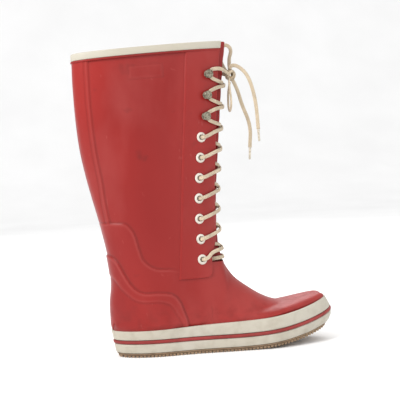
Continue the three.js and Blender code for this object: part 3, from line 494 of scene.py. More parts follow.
def eyelet_round(level):
    return forward_of(level, EYELET_SETBACK)


def hook_round(level):
    return forward_of(level, HOOK_SETBACK)


def crossing(level, side, flip):
    edge = float(slit_edge(level + PITCH * 0.3))
    far = float(slit_edge(level + PITCH * 0.75))
    high = side < 0
    middle = CROSSING_HIGH if high else CROSSING_LOW
    next_level = level + PITCH
    places = [
        (0.05, side * forward_of(level, EYELET_SETBACK - TURN_FORWARD), LACE_OVER + 0.1),
        (0.27, side * (edge + 0.02), OVERLAY + 2.2),
        (0.38, side * edge * 0.55, middle + 0.6 + 1.2 * float(throat_flare(level))),
        (0.5, 0, middle),
        (0.6, -side * far * 0.42, middle * 0.6 if high else CROSSING_LOW),
        (0.76, -side * (far + 0.005), LACE_UNDER - 0.5),
        (0.93, -side * forward_of(next_level, EYELET_SETBACK - TURN_FORWARD), LACE_UNDER - 0.5),
    ]
    return [stop(level + share * PITCH, q, offset, flip) for share, q, offset in places]


def hook_crossing(level, side, flip, first):
    edge = float(slit_edge(level + PITCH * 0.3))
    middle = CROSSING_HIGH if side < 0 else CROSSING_LOW
    places = [
        (0.38 if first else 0.42, side * edge * 0.55, middle + 0.6),
        (0.5, 0, middle),
        (0.58, -side * edge * 0.55, middle + 0.6),
        (0.64, -side * (edge + 0.01), OVERLAY + 2),
        (0.78, -side * forward_of(level + PITCH, HOOK_SETBACK - 6), WRAP_OFFSET - 0.6),
    ]
    if first:
        start = [
            (0.05, side * forward_of(level, EYELET_SETBACK - TURN_FORWARD), LACE_OVER + 0.1),
            (0.27, side * (edge + 0.02), OVERLAY + 2.2),
        ]
    else:
        start = [
            (0.22, side * forward_of(level, HOOK_SETBACK - 6), WRAP_OFFSET - 0.6),
            (0.36, side * (edge + 0.01), OVERLAY + 2),
        ]
    return [stop(level + share * PITCH, q, offset, flip) for share, q, offset in start + places]


def through_eyelet(level, side, flip):
    q = side * eyelet_round(level)
    normal = normal_at(np.float64(level), np.float64(level), np.float64(q))
    centre = surface(level, q)
    ahead = unit(surface(level, side * forward_of(level, EYELET_SETBACK - 2)) - centre)
    inward, back = normal * flip, ahead * flip
    return [
        (centre + normal * (LACE_UNDER + 0.2) + ahead * 1.4, (inward + back) / 2),
        (centre - normal, back),
        (centre + normal * 1.2, back),
        (centre + normal * (LACE_OVER - 0.2) + ahead * 1.2, (back - inward) / 2),
    ]


def round_hook(level, side):
    q = side * hook_round(level)
    normal = normal_at(np.float64(level), np.float64(level), np.float64(q))
    centre = surface(level, q, WRAP_OFFSET)
    up = np.array([0, 0, 1.0])
    up = unit(up - normal * (up @ normal))
    behind = unit(np.cross(up, normal)) * -side
    stops = []
    for degrees in (-65, 0, 65):
        angle = math.radians(degrees)
        out = behind * math.cos(angle) + up * math.sin(angle)
        stops.append((centre + out * WRAP_RADIUS, out))
    return stops


def to_knot(level, side, flip):
    entry = KNOT + np.array([-3.5, side * (KNOT_SIZE[1] + 1.2) * 0.9, 1])
    return [
        stop(level + 0.21 * PITCH, side * forward_of(level, HOOK_SETBACK - 6), WRAP_OFFSET - 0.6, flip),
        stop(level + 0.22 * PITCH, side * float(slit_edge(level)), OVERLAY + 3.2, flip),
        (entry, np.array([flip, 0, 0], float)),
    ]


def strand(side):
    stops, flip = [], 1
    for i, level in enumerate(EYELET_LEVELS):
        stops += through_eyelet(level, side, flip)
        flip = -flip
        last = i == EYELETS - 1
        stops += hook_crossing(level, side, flip, True) if last else crossing(level, side, flip)
        side = -side
    for i, level in enumerate(HOOK_LEVELS):
        stops += round_hook(level, side)
        last = i == HOOKS - 1
        stops += to_knot(level, side, flip) if last else hook_crossing(level, side, flip, False)
        side = -side
    return stops


def bottom_bar():
    level = EYELET_LEVELS[0]
    edge = float(slit_edge(level))
    in_front = CROSSING_LOW + 2 * GAP
    places = [
        (1, LACE_UNDER - 0.1), (0.8, -1.4), (0.5, in_front), (0, in_front),
        (-0.5, in_front), (-0.8, -1.4), (-1, LACE_UNDER - 0.1),
    ]
    return [stop(level, edge * share, offset, 1) for share, offset in places]


held = strand(-1)[::-1] + bottom_bar()[::-1] + strand(1)
LACE_STEPS = 5
lace_path = catmull([at for at, _ in held], LACE_STEPS)
outs = np.array([out for _, out in held])
share = np.arange(len(lace_path)) / LACE_STEPS
lace_out = unit(np.stack([np.interp(share, np.arange(len(outs)), outs[:, k]) for k in range(3)], 1))
lace = sweep("lace_woven", lace_path, lace_out)
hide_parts("lace")


KNOT_BANDS = [  # turn, lean, radius, place along the knot
    (0, 0.1, 5.9, 0), (0.65, 0.5, 4.8, -3), (-0.65, -0.5, 4.8, 3),
]
KNOT_BAND = (4.6, 2.4)  # width and thickness of the folded lace
KNOT_CORE = np.array([4.7, 7, 5])


def knot():
    """Centre band round the crossing of the loops, and the folded lace that it holds."""
    turns = np.linspace(0, 2 * np.pi, 40, endpoint=False)
    made = []
    for k, (tilt, lean, radius, shift) in enumerate(KNOT_BANDS):
        ring = np.stack([np.cos(turns) * radius, np.zeros(40), np.sin(turns) * radius * 1.05], 1)
        out = unit(ring)
        turn = np.array(Matrix.Rotation(tilt, 3, "Z") @ Matrix.Rotation(lean, 3, "X"))
        path = ring @ turn.T + KNOT + np.array([0, shift, 0])
        made.append(sweep(f"knot_band_{k + 1}", path, out @ turn.T, *KNOT_BAND, closed=True))
    angle = np.linspace(0, 2 * np.pi, 24, endpoint=False)
    rise = np.linspace(-1, 1, 15)[1:-1]
    core = KNOT_CORE * np.array([
        [(math.sqrt(1 - h * h) * math.cos(a), h, math.sqrt(1 - h * h) * math.sin(a)) for a in angle]
        for h in rise
    ])
    made.append(grid_object("knot_core", core + KNOT, wrap=True))
    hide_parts("bow_knot")
    return made


knots = knot()


# ---- upper: one moulded skin with its raised parts ----
FOOT_ROWS = [
    (25, 28), (33.4, 37.3), (36.2, 39.8), (41, 41.6), (46, 43), (51, 45), (58, 47.5), (64, 53),
    (71, 62), (80, 74), (90, 88), (102, 102), (112, 112),
]
FOOT_STEPS = 8
LEG_STEPS = 180
VAMP_COLUMNS = 80
LEG_COLUMNS = 320
RIM = LEG_TOP - 2


def upper_rows():
    foot = []
    for low, high in zip(FOOT_ROWS, FOOT_ROWS[1:]):
        foot += [
            (low[0] + (high[0] - low[0]) * k / FOOT_STEPS, low[1] + (high[1] - low[1]) * k / FOOT_STEPS)
            for k in range(FOOT_STEPS)
        ]
    leg = [(level, level) for level in np.linspace(THROAT, RIM, LEG_STEPS)]
    rows = np.array(foot + leg)
    return rows[:, 0], rows[:, 1]


def row_edges(back, ahead):
    """Where the seam with the vamp, and above it the slit, crosses each row."""
    seam = round_at(back, seam_edge(back), ahead)
    return np.where(back > THROAT, slit_edge(back), seam)


def smooth_line(points, count=160):
    """Points close together on a smooth line in the side view."""
    points = np.array(points, float)
    return catmull(np.column_stack([points, np.zeros(len(points))]), count // len(points))[:, :2]


def inside_by(x, z, line):
    """Distance to a falling line in the side view, positive below it."""
    far = np.full(x.shape, 1e9)
    for px, pz in line:
        far = np.minimum(far, (x - px) ** 2 + (z - pz) ** 2)
    below = z < np.interp(x, line[:, 0], line[:, 1])
    return np.where(below, 1, -1) * np.sqrt(far)


ANKLE_EDGE = smooth_line([
    (-110, 167.5), (-80, 167.5), (-62.3, 167), (-50.5, 165.2), (-44, 158), (-40.5, 150.7),
    (-37.1, 136.7), (-31.2, 119.6), (-18.1, 109.3), (1.3, 106.9), (14, 104), (40, 96),
])
COUNTER_EDGE = smooth_line([
    (-100, 129), (-70, 127), (-62.8, 121), (-55, 105), (-48.6, 92.3), (-41, 83.5), (-32, 79.3),
    (-16.9, 79.1), (2.6, 75.4), (10.6, 66.3), (15.5, 53), (19.4, 40.1), (21, 20),
])
COUNTER_INNER = smooth_line([
    (-100, 110), (-70, 104), (-56, 84), (-42, 71.2), (-30, 68.8), (-14.8, 68.4), (-1, 63.1),
    (6, 52), (12.3, 40.8), (15, 20),
])
stay_width = curve([(165, 9), (190, 11), (225, 15), (313, 16.5), (383, 17)])
PATCH = (-36, 5, 344.5, 359.5)


def dents(x, z, side):
    """Shallow unevenness of the thin wall, stronger up the leg."""
    wave = (
        np.sin(x / 21 + z / 47 + side) + 0.7 * np.sin(z / 29 - x / 33 + 2 * side)
        + 0.4 * np.sin(x / 11 + z / 19 + 1.3)
    )
    return 0.28 * wave * smoothstep(110, 190, z) * (1 - smoothstep(340, 375, z))


def step(distance, soft):
    """A moulded step: its rise, and where its crest is painted pale, partly rubbed bloom and partly
    painted highlight, and where its foot is painted dark as shade.
    """
    rise = smoothstep(-soft, soft, distance)
    crest = np.exp(-((distance - soft - 0.5) / 1.1) ** 2)
    foot = np.exp(-((distance + soft + 0.3) / 1.2) ** 2)
    return rise, crest, foot


def relief(point, level):
    """Height over the plain surface, and crest and foot lines for points before the bend: painted
    highlight (with rubbed bloom) on the crests, painted shade at the feet and in the grooves.
    """
    x, z = point[..., 0], point[..., 2]
    lateral = point[..., 1] < 0
    side = np.where(lateral, -1.0, 1.0)
    fade = 1 - smoothstep(-8, 16, x)
    behind = stay_width(level) - (x - leg_back(z))
    above = smoothstep(165, 169, z)
    across = np.minimum(x - PATCH[0], PATCH[1] - x)
    up = np.minimum(z - PATCH[2], PATCH[3] - z)
    steps = [
        (inside_by(x, z, ANKLE_EDGE), 1.0, 1.2 * fade, 0.8 * fade),
        (inside_by(x, z, COUNTER_EDGE), 1.0, 1.5, 0.9),
        (-inside_by(x, z, COUNTER_INNER), 1.0, 0.7, 0.5),
        (behind, 0.8, 1.3 * above, 0.6 * above),
        (np.minimum(across, up), 0.6, 0.5 * lateral, 0.25 * lateral),
    ]
    height, lines = dents(x, z, side), 0
    for distance, soft, rise_by, shade in steps:
        rise, crest, foot = step(distance, soft)
        height = height + rise_by * rise - 0.3 * shade * foot
        # Each step's crest lightens the colour and its foot darkens it: painted highlight and painted
        # shade.
        lines = lines + shade * (crest - foot)
    groove = np.exp(-((behind - 4.2) / 0.9) ** 2) * above
    seam = np.exp(-((x - 51) / 0.8) ** 2) * (1 - smoothstep(52, 64, z)) * (z > 30)
    height = height - 0.5 * groove - 0.35 * seam - 1.0
    # The back-stay groove and the seam line darken the colour too: painted shade in the recesses.
    return height, lines - 0.5 * groove - 0.5 * seam


def holes(points, radius=4.5):
    """Grid cells whose middle is in the way of an eyelet."""
    middle = (points[:-1, :-1] + points[1:, 1:]) / 2
    hit = np.zeros(middle.shape[:2], bool)
    for level in EYELET_LEVELS:
        for side in (-1, 1):
            centre = surface(level, side * eyelet_round(level))
            hit |= np.linalg.norm(middle - centre, axis=-1) < radius
    return hit


FILL_BELOW = 6  # how far below and above the sole wall's top the skin is pushed out
FILL_ABOVE = 12
FILL_AT_TOE = 4.2
FILL_MOST = 7
LEAN = 1.45  # travel along the sloping normal for each millimetre outwards


def closing_the_groove(flat):
    """Push that brings the skin out to the sole's wall beside and in front of the foot."""
    over_foxing = flat[..., 2] - foxing_top(flat[..., 0])
    near = smoothstep(-FILL_BELOW, -1, over_foxing) * (1 - smoothstep(0, FILL_ABOVE, over_foxing))
    toe = smoothstep(150, 198, flat[..., 0])
    reach = np.abs(flat[..., 1])
    wall = sole_half(flat[..., 0], flat[..., 2], np.sign(flat[..., 1]), FOXING_THICKNESS)
    beside = smoothstep(2, 10, reach)
    sideways = np.clip(LEAN * (wall - reach), 0.8, FILL_MOST)
    return (beside * sideways + (1 - beside) * FILL_AT_TOE * toe) * near


def skin_points(offset, with_relief):
    back, ahead = upper_rows()
    edge = row_edges(back, ahead)
    vamp = np.linspace(-1, 1, VAMP_COLUMNS, endpoint=False)[None, :] * edge[:, None]
    leg = edge[:, None] + (2 - 2 * edge[:, None]) * np.linspace(0, 1, LEG_COLUMNS)[None, :]
    q = np.concatenate([vamp, leg], 1)
    q = np.where(q > 1, q - 2, q)
    levels = np.broadcast_to(back[:, None], q.shape)
    fronts = np.broadcast_to(ahead[:, None], q.shape)
    flat = flat_point(levels, fronts, q)
    height, lines = relief(flat, levels) if with_relief else (0, None)
    lift = offset + height + closing_the_groove(flat)
    points = surface(levels, q, lift, fronts)
    keep = np.ones((q.shape[0] - 1, q.shape[1]), bool)
    keep[(back[:-1] >= THROAT), :VAMP_COLUMNS] = False
    hit = holes(points)
    keep[:, :-1] &= ~hit
    return points, keep, lines


LINING_DEPTH = 3.4
skin_grid, skin_keep, skin_edge_light_and_shade = skin_points(0, True)
skin_grid[:, -1] = skin_grid[:, 0]
upper = grid_object("upper_skin", skin_grid, keep=skin_keep[:, :-1])
# The lines layer carries painted light: crests of moulded steps painted pale (partly rubbed bloom,
# partly painted highlight), their feet and grooves painted dark as shade.
worn = upper.data.attributes.new("lines", "FLOAT", "POINT")
worn.data.foreach_set("value", skin_edge_light_and_shade.ravel())
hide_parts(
    "leg_lateral", "leg_medial", "vamp", "ankle_overlay", "heel_counter", "back_stay",
    "blank_patch",
)

lining_grid, lining_keep, _ = skin_points(-LINING_DEPTH, False)
lining = grid_object("lining_knit", lining_grid, keep=lining_keep[:, :-1], flip=True)
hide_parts("lining_lateral", "lining_medial", "lining_vamp")

# ---- facings ----
EDGE_STEP = 0.0015  # a hair past the slit's edge, as a share of the way round
FACING_COLUMNS = 34
facing_corner = curve([(FACING_BOTTOM, 47), (95, 51), (99, 54.6), (110, 55.2)])
FACING_LEVELS = np.concatenate([
    FACING_BOTTOM + np.array([0, 0.25, 0.6, 1.1, 1.8, 2.8, 4, 6, 9, 12.5, 16]),
    np.linspace(THROAT, LEG_TOP - BAND_HEIGHT - GAP, 120),
])
FACING_RISE = 1.5
FACING_REAR = (2.65, 0.0863)  # the straight rear edge: x at the floor, and its lean
FACING_WRAP = np.array([-0.4, -1.4, -2.4, -3.3])  # round the free front edge, inwards
CRISP_EDGE = 1.1


def facing(side):
    level = FACING_LEVELS[:, None]
    share = (1 - np.cos(np.linspace(0, np.pi, FACING_COLUMNS))) / 2
    rear = round_at(level, FACING_REAR[0] + FACING_REAR[1] * level)
    ahead = np.where(level > THROAT, slit_edge(level), round_at(level, facing_corner(level)))
    q = rear + (ahead - rear) * share[None, :]
    plain = surface(np.broadcast_to(level, q.shape), side * q)
    steps = np.linalg.norm(np.diff(plain, axis=1), axis=2)
    along = np.concatenate([np.zeros((len(level), 1)), np.cumsum(steps, 1)], 1)
    from_rear, from_front = along, along[:, -1:] - along
    from_bottom = level - FACING_BOTTOM
    soft_rear = smoothstep(-0.4, 1.8, from_rear)
    crisp = np.sqrt(1 - (1 - np.clip(np.minimum(from_front, from_bottom) / CRISP_EDGE, 0, 1)) ** 2)
    height = FACING_RISE * soft_rear * (0.12 + 0.88 * crisp) - 0.25 * (1 - soft_rear)
    height += dents(plain[..., 0], plain[..., 2], side)
    open_rows = smoothstep(THROAT - 1, THROAT + 1, level)
    inner_q = np.repeat(q[:, -1:], len(FACING_WRAP), 1) - EDGE_STEP
    inner_height = FACING_WRAP[None, :] * open_rows - 0.3 * (1 - open_rows)
    q = np.concatenate([q, inner_q], 1)
    height = np.concatenate([height, np.broadcast_to(inner_height, inner_q.shape)], 1)
    points = surface(np.broadcast_to(level, q.shape), side * q, height)
    name = "facing_lateral" if side < 0 else "facing_medial"
    made = grid_object(name + "_moulded", points, keep=~holes(points), flip=side < 0)
    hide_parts(name)
    return made


facings = [facing(-1), facing(1)]

# ---- tongue ----
TONGUE_HALF = 24
TONGUE_THICKNESS = 2
TONGUE_TOP = LEG_TOP - 0.8
TONGUE_COLUMNS = 61


def tongue():
    levels = np.concatenate([
        np.linspace(105.3, 142, 26), np.linspace(144, TONGUE_TOP - 1.2, 90),
        [TONGUE_TOP - 0.6, TONGUE_TOP - 0.2, TONGUE_TOP],
    ])[:, None]
    edge = round_at_width(levels, TONGUE_HALF)
    q = edge * np.linspace(-1, 1, TONGUE_COLUMNS)[None, :]
    grown = np.broadcast_to(levels, q.shape)
    side = np.abs(flat_point(grown, grown, q)[..., 1])
    slit = np.where(levels > THROAT, np.abs(flat_point(levels, levels, slit_edge(levels))[..., 1]), 26)
    recess = smoothstep(slit - 12.5, slit - 0.5, side)
    under = 1 - smoothstep(THROAT - 2, THROAT + 5, levels)
    height = TONGUE_PROUD + (TONGUE_RECESS - TONGUE_PROUD) * np.maximum(recess, under)
    phase = (levels - LOWEST_EYELET) / PITCH
    puff = 0.45 * (0.5 - 0.5 * np.cos(2 * np.pi * (phase + 0.5))) * (1 - smoothstep(5, 11, side))
    height = height + puff * smoothstep(THROAT + 8, THROAT + 20, levels) - 0.25
    half = np.full(q.shape, TONGUE_THICKNESS / 2)
    half[-3:] *= np.array([0.85, 0.6, 0.25])[:, None]
    outer = surface(grown, q, height - TONGUE_THICKNESS / 2 + half)
    inner = surface(grown, q, height - TONGUE_THICKNESS / 2 - half)
    loop = np.concatenate([outer, inner[:, ::-1]], 1)
    rows, columns = loop.shape[:2]
    faces = grid_faces(rows, columns, wrap=True)
    for row in (0, rows - 1):
        at = row * columns
        for j in range(TONGUE_COLUMNS - 1):
            quad = (at + j, at + j + 1, at + columns - 2 - j, at + columns - 1 - j)
            faces.append(quad if row else quad[::-1])
    made = new_object("tongue_moulded", loop.reshape(-1, 3), faces, "tongue")
    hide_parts("tongue")
    return made


tongue_piece = tongue()

# ---- rim binding and piping ----
BINDING = [
    (0.3, -9), (1, -9.15), (1.6, -8.9), (1.8, -8.2), (1.85, -5), (1.8, -1.6), (1.5, -0.7),
    (0.8, -0.15), (-0.4, 0), (-2, 0), (-3.6, 0), (-4.8, -0.2), (-5.4, -0.8), (-5.6, -2),
    (-5.5, -5), (-5.3, -8), (-4.4, -8.2), (-4.2, -2.2), (-2, -1.9), (0.1, -2.2),
]


def round_the_rim(name, section, steps=150):
    edge = float(slit_edge(RIM)) + EDGE_STEP
    q = np.linspace(edge, 2 - edge, steps)
    q = np.where(q > 1, q - 2, q)[:, None]
    offset = np.array([s[0] for s in section])[None, :]
    level = np.array([s[1] for s in section])[None, :] + LEG_TOP
    q, offset, level = np.broadcast_arrays(q, offset, level)
    points = surface(level, q, offset)
    count = len(section)
    faces = grid_faces(steps, count, wrap=True)
    faces.append(tuple(range(count)))
    faces.append(tuple((steps - 1) * count + j for j in range(count - 1, -1, -1)))
    return new_object(name, points.reshape(-1, 3), faces)


binding = round_the_rim("rim_binding_moulded", BINDING)
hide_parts("rim_binding")
piping_level = -BAND_HEIGHT - GAP - PIPING
piping_section = [
    (GAP + 0.1 + PIPING * (1 + math.cos(a)) * 0.8, piping_level + PIPING * math.sin(a))
    for a in np.linspace(0, 2 * np.pi, 12, endpoint=False)
]
piping = round_the_rim("piping_moulded", piping_section)
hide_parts("piping")

# ---- sole ----
SOLE_STEPS = 110


def sole_ring(z, inset):
    """The sole's outline at height z, lateral side then back along the medial side."""
    z = np.asarray(z, float)
    turn = np.arange(2 * SOLE_STEPS) * np.pi / SOLE_STEPS
    share = (1 - np.cos(turn)) / 2
    side = np.where(turn <= np.pi, -1.0, 1.0)
    start = HEEL_END + heel_draft(z) + inset
    end = TOE_END - toe_draft(z) - inset
    x = start + (end - start) * share
    y = side * sole_half(x, z, side, inset)
    z = np.broadcast_to(z, x.shape)
    return bend(x, y, z, z)


BAND_SECTION = [
    (0, 1), (0, 0.3), (0.03, -0.12), (0.12, -0.28), (0.5, -0.34), (0.88, -0.28), (0.97, -0.12),
    (1, 0.3), (1, 1),
]


def sole_band(name, node, bottom, top, proud):
    """Ring of the sole's wall; section as share of its height and of its depth."""
    base = sole_ring(bottom, 0)
    tops = foxing_top(base[:, 0]) if top is None else np.full(len(base), float(top))
    rings = []
    for up, depth in BAND_SECTION:
        z = bottom + (tops - bottom) * up
        inset = np.where(depth > 0, depth * FOXING_THICKNESS, depth * proud / 0.34)
        rings.append(sole_ring(z, float(inset)))
    points = np.stack(rings, 1)
    rows, columns = points.shape[:2]
    faces = []
    for i in range(rows):
        k = (i + 1) % rows
        for j in range(columns):
            n = (j + 1) % columns
            faces.append((i * columns + j, k * columns + j, k * columns + n, i * columns + n))
    made = new_object(name, points.reshape(-1, 3), faces)
    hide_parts(node)
    return made


bands = [
    sole_band("foxing_lower_moulded", "foxing_lower_band", *LOWER_BAND, 0.35),
    sole_band("foxing_upper_moulded", "foxing_upper_band", UPPER_BAND_BOTTOM, None, 0.35),
]
stripe = sole_band("foxing_stripe_moulded", "foxing_stripe", *STRIPE, 1.0)

RIB_PITCH = 4.5


RIB_REACH = (8, 10)  # clear of the heel's end and of the toe's
RIB_SECTION = [  # forward, height, inset
    (-0.3, 2.9, 0), (0.3, 0.5, 0.3), (1, 0, 0.6), (2.2, 0, 0.6), (2.9, 0.5, 0.3), (3.5, 2.9, 0),
]
RIB_LEVEL = 2.0  # height whose outline gives the ribs' length
PLATE_RINGS = [(PLATE_TOP, 3), (PLATE_TOP, 0.1), (4, 0.5), (2.6, 1.6), (2.6, 4)]


def plate_cap(row, flip):
    """Closes the plate's top or bottom with strips from one side to the other."""
    count = 2 * SOLE_STEPS
    at = row * count
    faces = []
    for k in range(1, SOLE_STEPS):
        quad = (at + k, at + k + 1, at + count - k - 1, at + (count - k) % count)
        if k == SOLE_STEPS - 1:
            quad = quad[:2] + quad[3:]
        faces.append(quad if flip else quad[::-1])
    return faces


def rib(x):
    points = []
    for forward, z, inset in RIB_SECTION:
        place, height = np.array([x + forward]), np.array([float(z)])
        for side in (-1.0, 1.0):
            half = sole_half(place, np.array([RIB_LEVEL]), np.array([side]), inset)
            points.append(bend(place, side * half, height, height)[0])
    return np.array(points)


def outsole():
    rings = [sole_ring(z, inset) for z, inset in PLATE_RINGS]
    count = 2 * SOLE_STEPS
    faces = [face[::-1] for face in grid_faces(len(rings), count, wrap=True)]
    faces += plate_cap(len(rings) - 1, True) + plate_cap(0, False)
    made_points = [np.concatenate(rings)]
    total = len(made_points[0])
    start, end = HEEL_END + RIB_REACH[0], TOE_END - RIB_REACH[1]
    corners = len(RIB_SECTION)
    for i in range(int((end - start) / RIB_PITCH)):
        made_points.append(rib(start + i * RIB_PITCH))
        for k in range(corners - 1):
            a = total + 2 * k
            faces.append((a, a + 1, a + 3, a + 2))
        faces.append(tuple(total + 2 * k for k in range(corners)))
        faces.append(tuple(total + 2 * k + 1 for k in range(corners - 1, -1, -1)))
        total += 2 * corners
    made = new_object("outsole_ribbed", np.concatenate(made_points), faces, smooth=False)
    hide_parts("outsole")
    return made


sole = outsole()


# ---- eyelets and hooks ----
def turned(name, profile, segments, level, q, node):
    angle = np.linspace(0, 2 * np.pi, segments, endpoint=False)
    rings = np.array([[(r * math.cos(a), r * math.sin(a), h) for a in angle] for r, h in profile])
    normal = Vector(normal_at(np.float64(level), np.float64(level), np.float64(q)))
    turn = np.array(Vector((0, 0, 1)).rotation_difference(normal).to_matrix())
    points = rings @ turn.T + surface(level, q)
    faces = grid_faces(len(profile), segments, wrap=True)
    made = new_object(name, points.reshape(-1, 3), faces)
    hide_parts(node)
    return made


EYELET_PROFILE = [
    (5.2, -2.9), (5.3, -3.4), (5, -3.8), (3.6, -3.8), (3.15, -3.5), (3.1, -2), (3.1, 1.6),
    (3.25, 2.4), (3.6, 2.9), (4.2, 3.1), (4.9, 3), (5.6, 2.6), (6.1, 2.1), (6.3, 1.75), (6.2, 1.4),
    (5.6, 1.3),
]
CAP = FLANGE_TOP + 4.7
HOOK_PROFILE = [
    (2, -3), (2, 1.9), (3.4, 1.9), (4.4, 2), (4.6, 2.3), (4.5, 2.6), (3.9, 2.8), (2.6, 3),
    (2.05, 3.6), (2, 5), (2.2, 6.6), (3.4, CAP - 0.3), (4.9, CAP - 0.25), (5.4, CAP),
    (5.5, CAP + 0.45), (5.25, CAP + 0.9), (4.6, CAP + 1.5), (4, CAP + 1.75), (3.6, CAP + 1.7),
    (3.3, CAP + 1.75), (2.6, CAP + 2.15), (1.4, CAP + 2.5), (0.02, CAP + 2.6),
]
eyelets, hooks = [], []
for label, side in (("lateral", -1), ("medial", 1)):
    for i, level in enumerate(EYELET_LEVELS):
        node = f"eyelet_{label}_{i + 1}"
        place = side * eyelet_round(level)
        eyelets.append(turned(node + "_ring", EYELET_PROFILE, 32, level, place, node))
    for i, level in enumerate(HOOK_LEVELS):
        node = f"hook_{label}_{i + 1}"
        place = side * hook_round(level)
        hooks.append(turned(node + "_cap", HOOK_PROFILE, 28, level, place, node))


# ---- materials ----
def srgb(r, g, b):
    channel = [v / 255 for v in (r, g, b)]
    return [v / 12.92 if v <= 0.04045 else ((v + 0.055) / 1.055) ** 2.4 for v in channel] + [1]


class Nodes:
    """A material's node tree, filled a node at a time."""

    def __init__(self, name):
        self.material = bpy.data.materials.new(name)
        self.material.use_nodes = True
        self.tree = self.material.node_tree
        self.shader = self.tree.nodes["Principled BSDF"]

    def add(self, kind, settings=None, **inputs):
        made = self.tree.nodes.new("ShaderNode" + kind)
        for key, value in (settings or {}).items():
            setattr(made, key, value)
        for key, value in inputs.items():
            self.put(made.inputs[key.replace("_", " ")], value)
        return made

    def put(self, socket, value):
        if isinstance(value, bpy.types.NodeSocket):
            self.tree.links.new(value, socket)
        else:
            socket.default_value = value

    def place(self, scale=(1, 1, 1)):
        coordinates = self.add("TexCoord").outputs["Object"]
        return self.add("Mapping", Vector=coordinates, Scale=scale).outputs["Vector"]

    def noise(self, scale, detail=3, distortion=0, vector=None):
        return self.add(
            "TexNoise", Vector=vector or self.place(), Scale=scale, Detail=detail, Distortion=distortion,
        ).outputs["Fac"]

    def spread(self, value, low, high, to_low=0.0, to_high=1.0):
        made = self.add(
            "MapRange", Value=value, From_Min=low, From_Max=high, To_Min=to_low, To_Max=to_high,
        )
        return made.outputs["Result"]

    def times(self, a, b, operation="MULTIPLY"):
        made = self.add("Math", {"operation": operation})
        self.put(made.inputs[0], a)
        self.put(made.inputs[1], b)
        return made.outputs[0]

    def mix(self, share, a, b):
        made = self.add("Mix", {"data_type": "RGBA"})
        self.put(made.inputs[0], share)
        self.put(made.inputs[6], a)
        self.put(made.inputs[7], b)
        return made.outputs[2]

    def bump(self, height, strength, distance, under=None):
        made = self.add("Bump", Height=height, Strength=strength, Distance=distance * MM)
        if under is not None:
            self.put(made.inputs["Normal"], under)
        return made.outputs["Normal"]

    def finish(self, **sockets):
        for key, value in sockets.items():
            self.put(self.shader.inputs[key.replace("_", " ")], value)
        return self.material


def height_above_floor(nodes):
    coordinates = nodes.add("TexCoord").outputs["Object"]
    return nodes.add("SeparateXYZ", Vector=coordinates).outputs["Z"]


def rubber(name, base, dark, pale, roughness, grime_and_shade, dirtiness=0.45):
    """Moulded rubber: cloudy colour, chalky bloom, rubbed spots, painted highlight and painted shade
    along the moulded steps, fine scratches and grain.
    """
    n = Nodes(name)
    upright = n.place((1, 1, 0.4))
    cloud = n.spread(n.noise(9, 2, 0.2, upright), 0.36, 0.68)
    colour = n.mix(cloud, dark, base)
    bloom = n.spread(n.noise(15, 4, 0.3, upright), 0.48, 0.75)
    colour = n.mix(n.times(bloom, 0.35), colour, pale)
    spot = n.spread(n.noise(38, 2, 0.3), 0.68, 0.8)
    colour = n.mix(n.times(spot, 0.35), colour, grime_and_shade)
    # Painted light from the lines layer: crests of moulded steps mixed towards pale (rubbed bloom and
    # painted highlight), feet and grooves mixed towards the grime colour as painted shade.
    lines = n.add("Attribute", {"attribute_name": "lines"}).outputs["Fac"]
    colour = n.mix(n.times(n.spread(lines, 0, 1), 0.38), colour, pale)
    colour = n.mix(n.times(n.spread(lines, 0, -1), 0.4), colour, grime_and_shade)
    scratch_place = n.add("Mapping", Vector=n.place(), Rotation=(0.3, 0.9, 0.5), Scale=(60, 900, 60))
    scratch = n.spread(n.noise(1, 2, 0.4, scratch_place.outputs["Vector"]), 0.7, 0.76)
    colour = n.mix(n.times(scratch, 0.3), colour, pale)
    low = n.spread(height_above_floor(n), 0.03, 0.075, 1, 0)
    dirt = n.times(low, n.spread(n.noise(90, 5), 0.45, 0.75))
    colour = n.mix(n.times(dirt, dirtiness), colour, grime_and_shade)
    rough = n.times(n.spread(bloom, 0, 1, roughness - 0.06, roughness + 0.12), n.times(dirt, 0.2), "ADD")
    grain = n.bump(n.noise(1900, 2), 0.12, 0.12)
    orange = n.bump(n.noise(160, 2), 0.25, 0.25, grain)
    bumped = n.bump(scratch, 0.15, -0.08, orange)
    return n.finish(Base_Color=colour, Roughness=rough, Normal=bumped, Specular_IOR_Level=0.28)


def metal(name, base, dark, roughness):
    n = Nodes(name)
    patina = n.spread(n.noise(420, 5, 0.8), 0.4, 0.68)
    colour = n.mix(patina, base, dark)
    rough = n.spread(patina, 0, 1, roughness, roughness + 0.3)
    pits = n.bump(n.noise(1500, 4), 0.35, 0.1)
    return n.finish(Base_Color=colour, Roughness=rough, Metallic=0.85, Normal=pits)


def paint(name):
    """White enamel over steel, worn through in specks round the edge."""
    n = Nodes(name)
    worn = n.spread(n.noise(700, 5, 0.5), 0.66, 0.7)
    dull = n.spread(n.noise(260, 3), 0.4, 0.75)
    colour = n.mix(n.times(dull, 0.35), srgb(208, 203, 193), srgb(172, 158, 134))
    colour = n.mix(worn, colour, srgb(120, 108, 92))
    rough = n.spread(dull, 0, 1, 0.28, 0.5)
    return n.finish(
        Base_Color=colour, Roughness=rough, Metallic=n.times(worn, 0.7),
        Normal=n.bump(worn, 0.4, -0.08),
    )


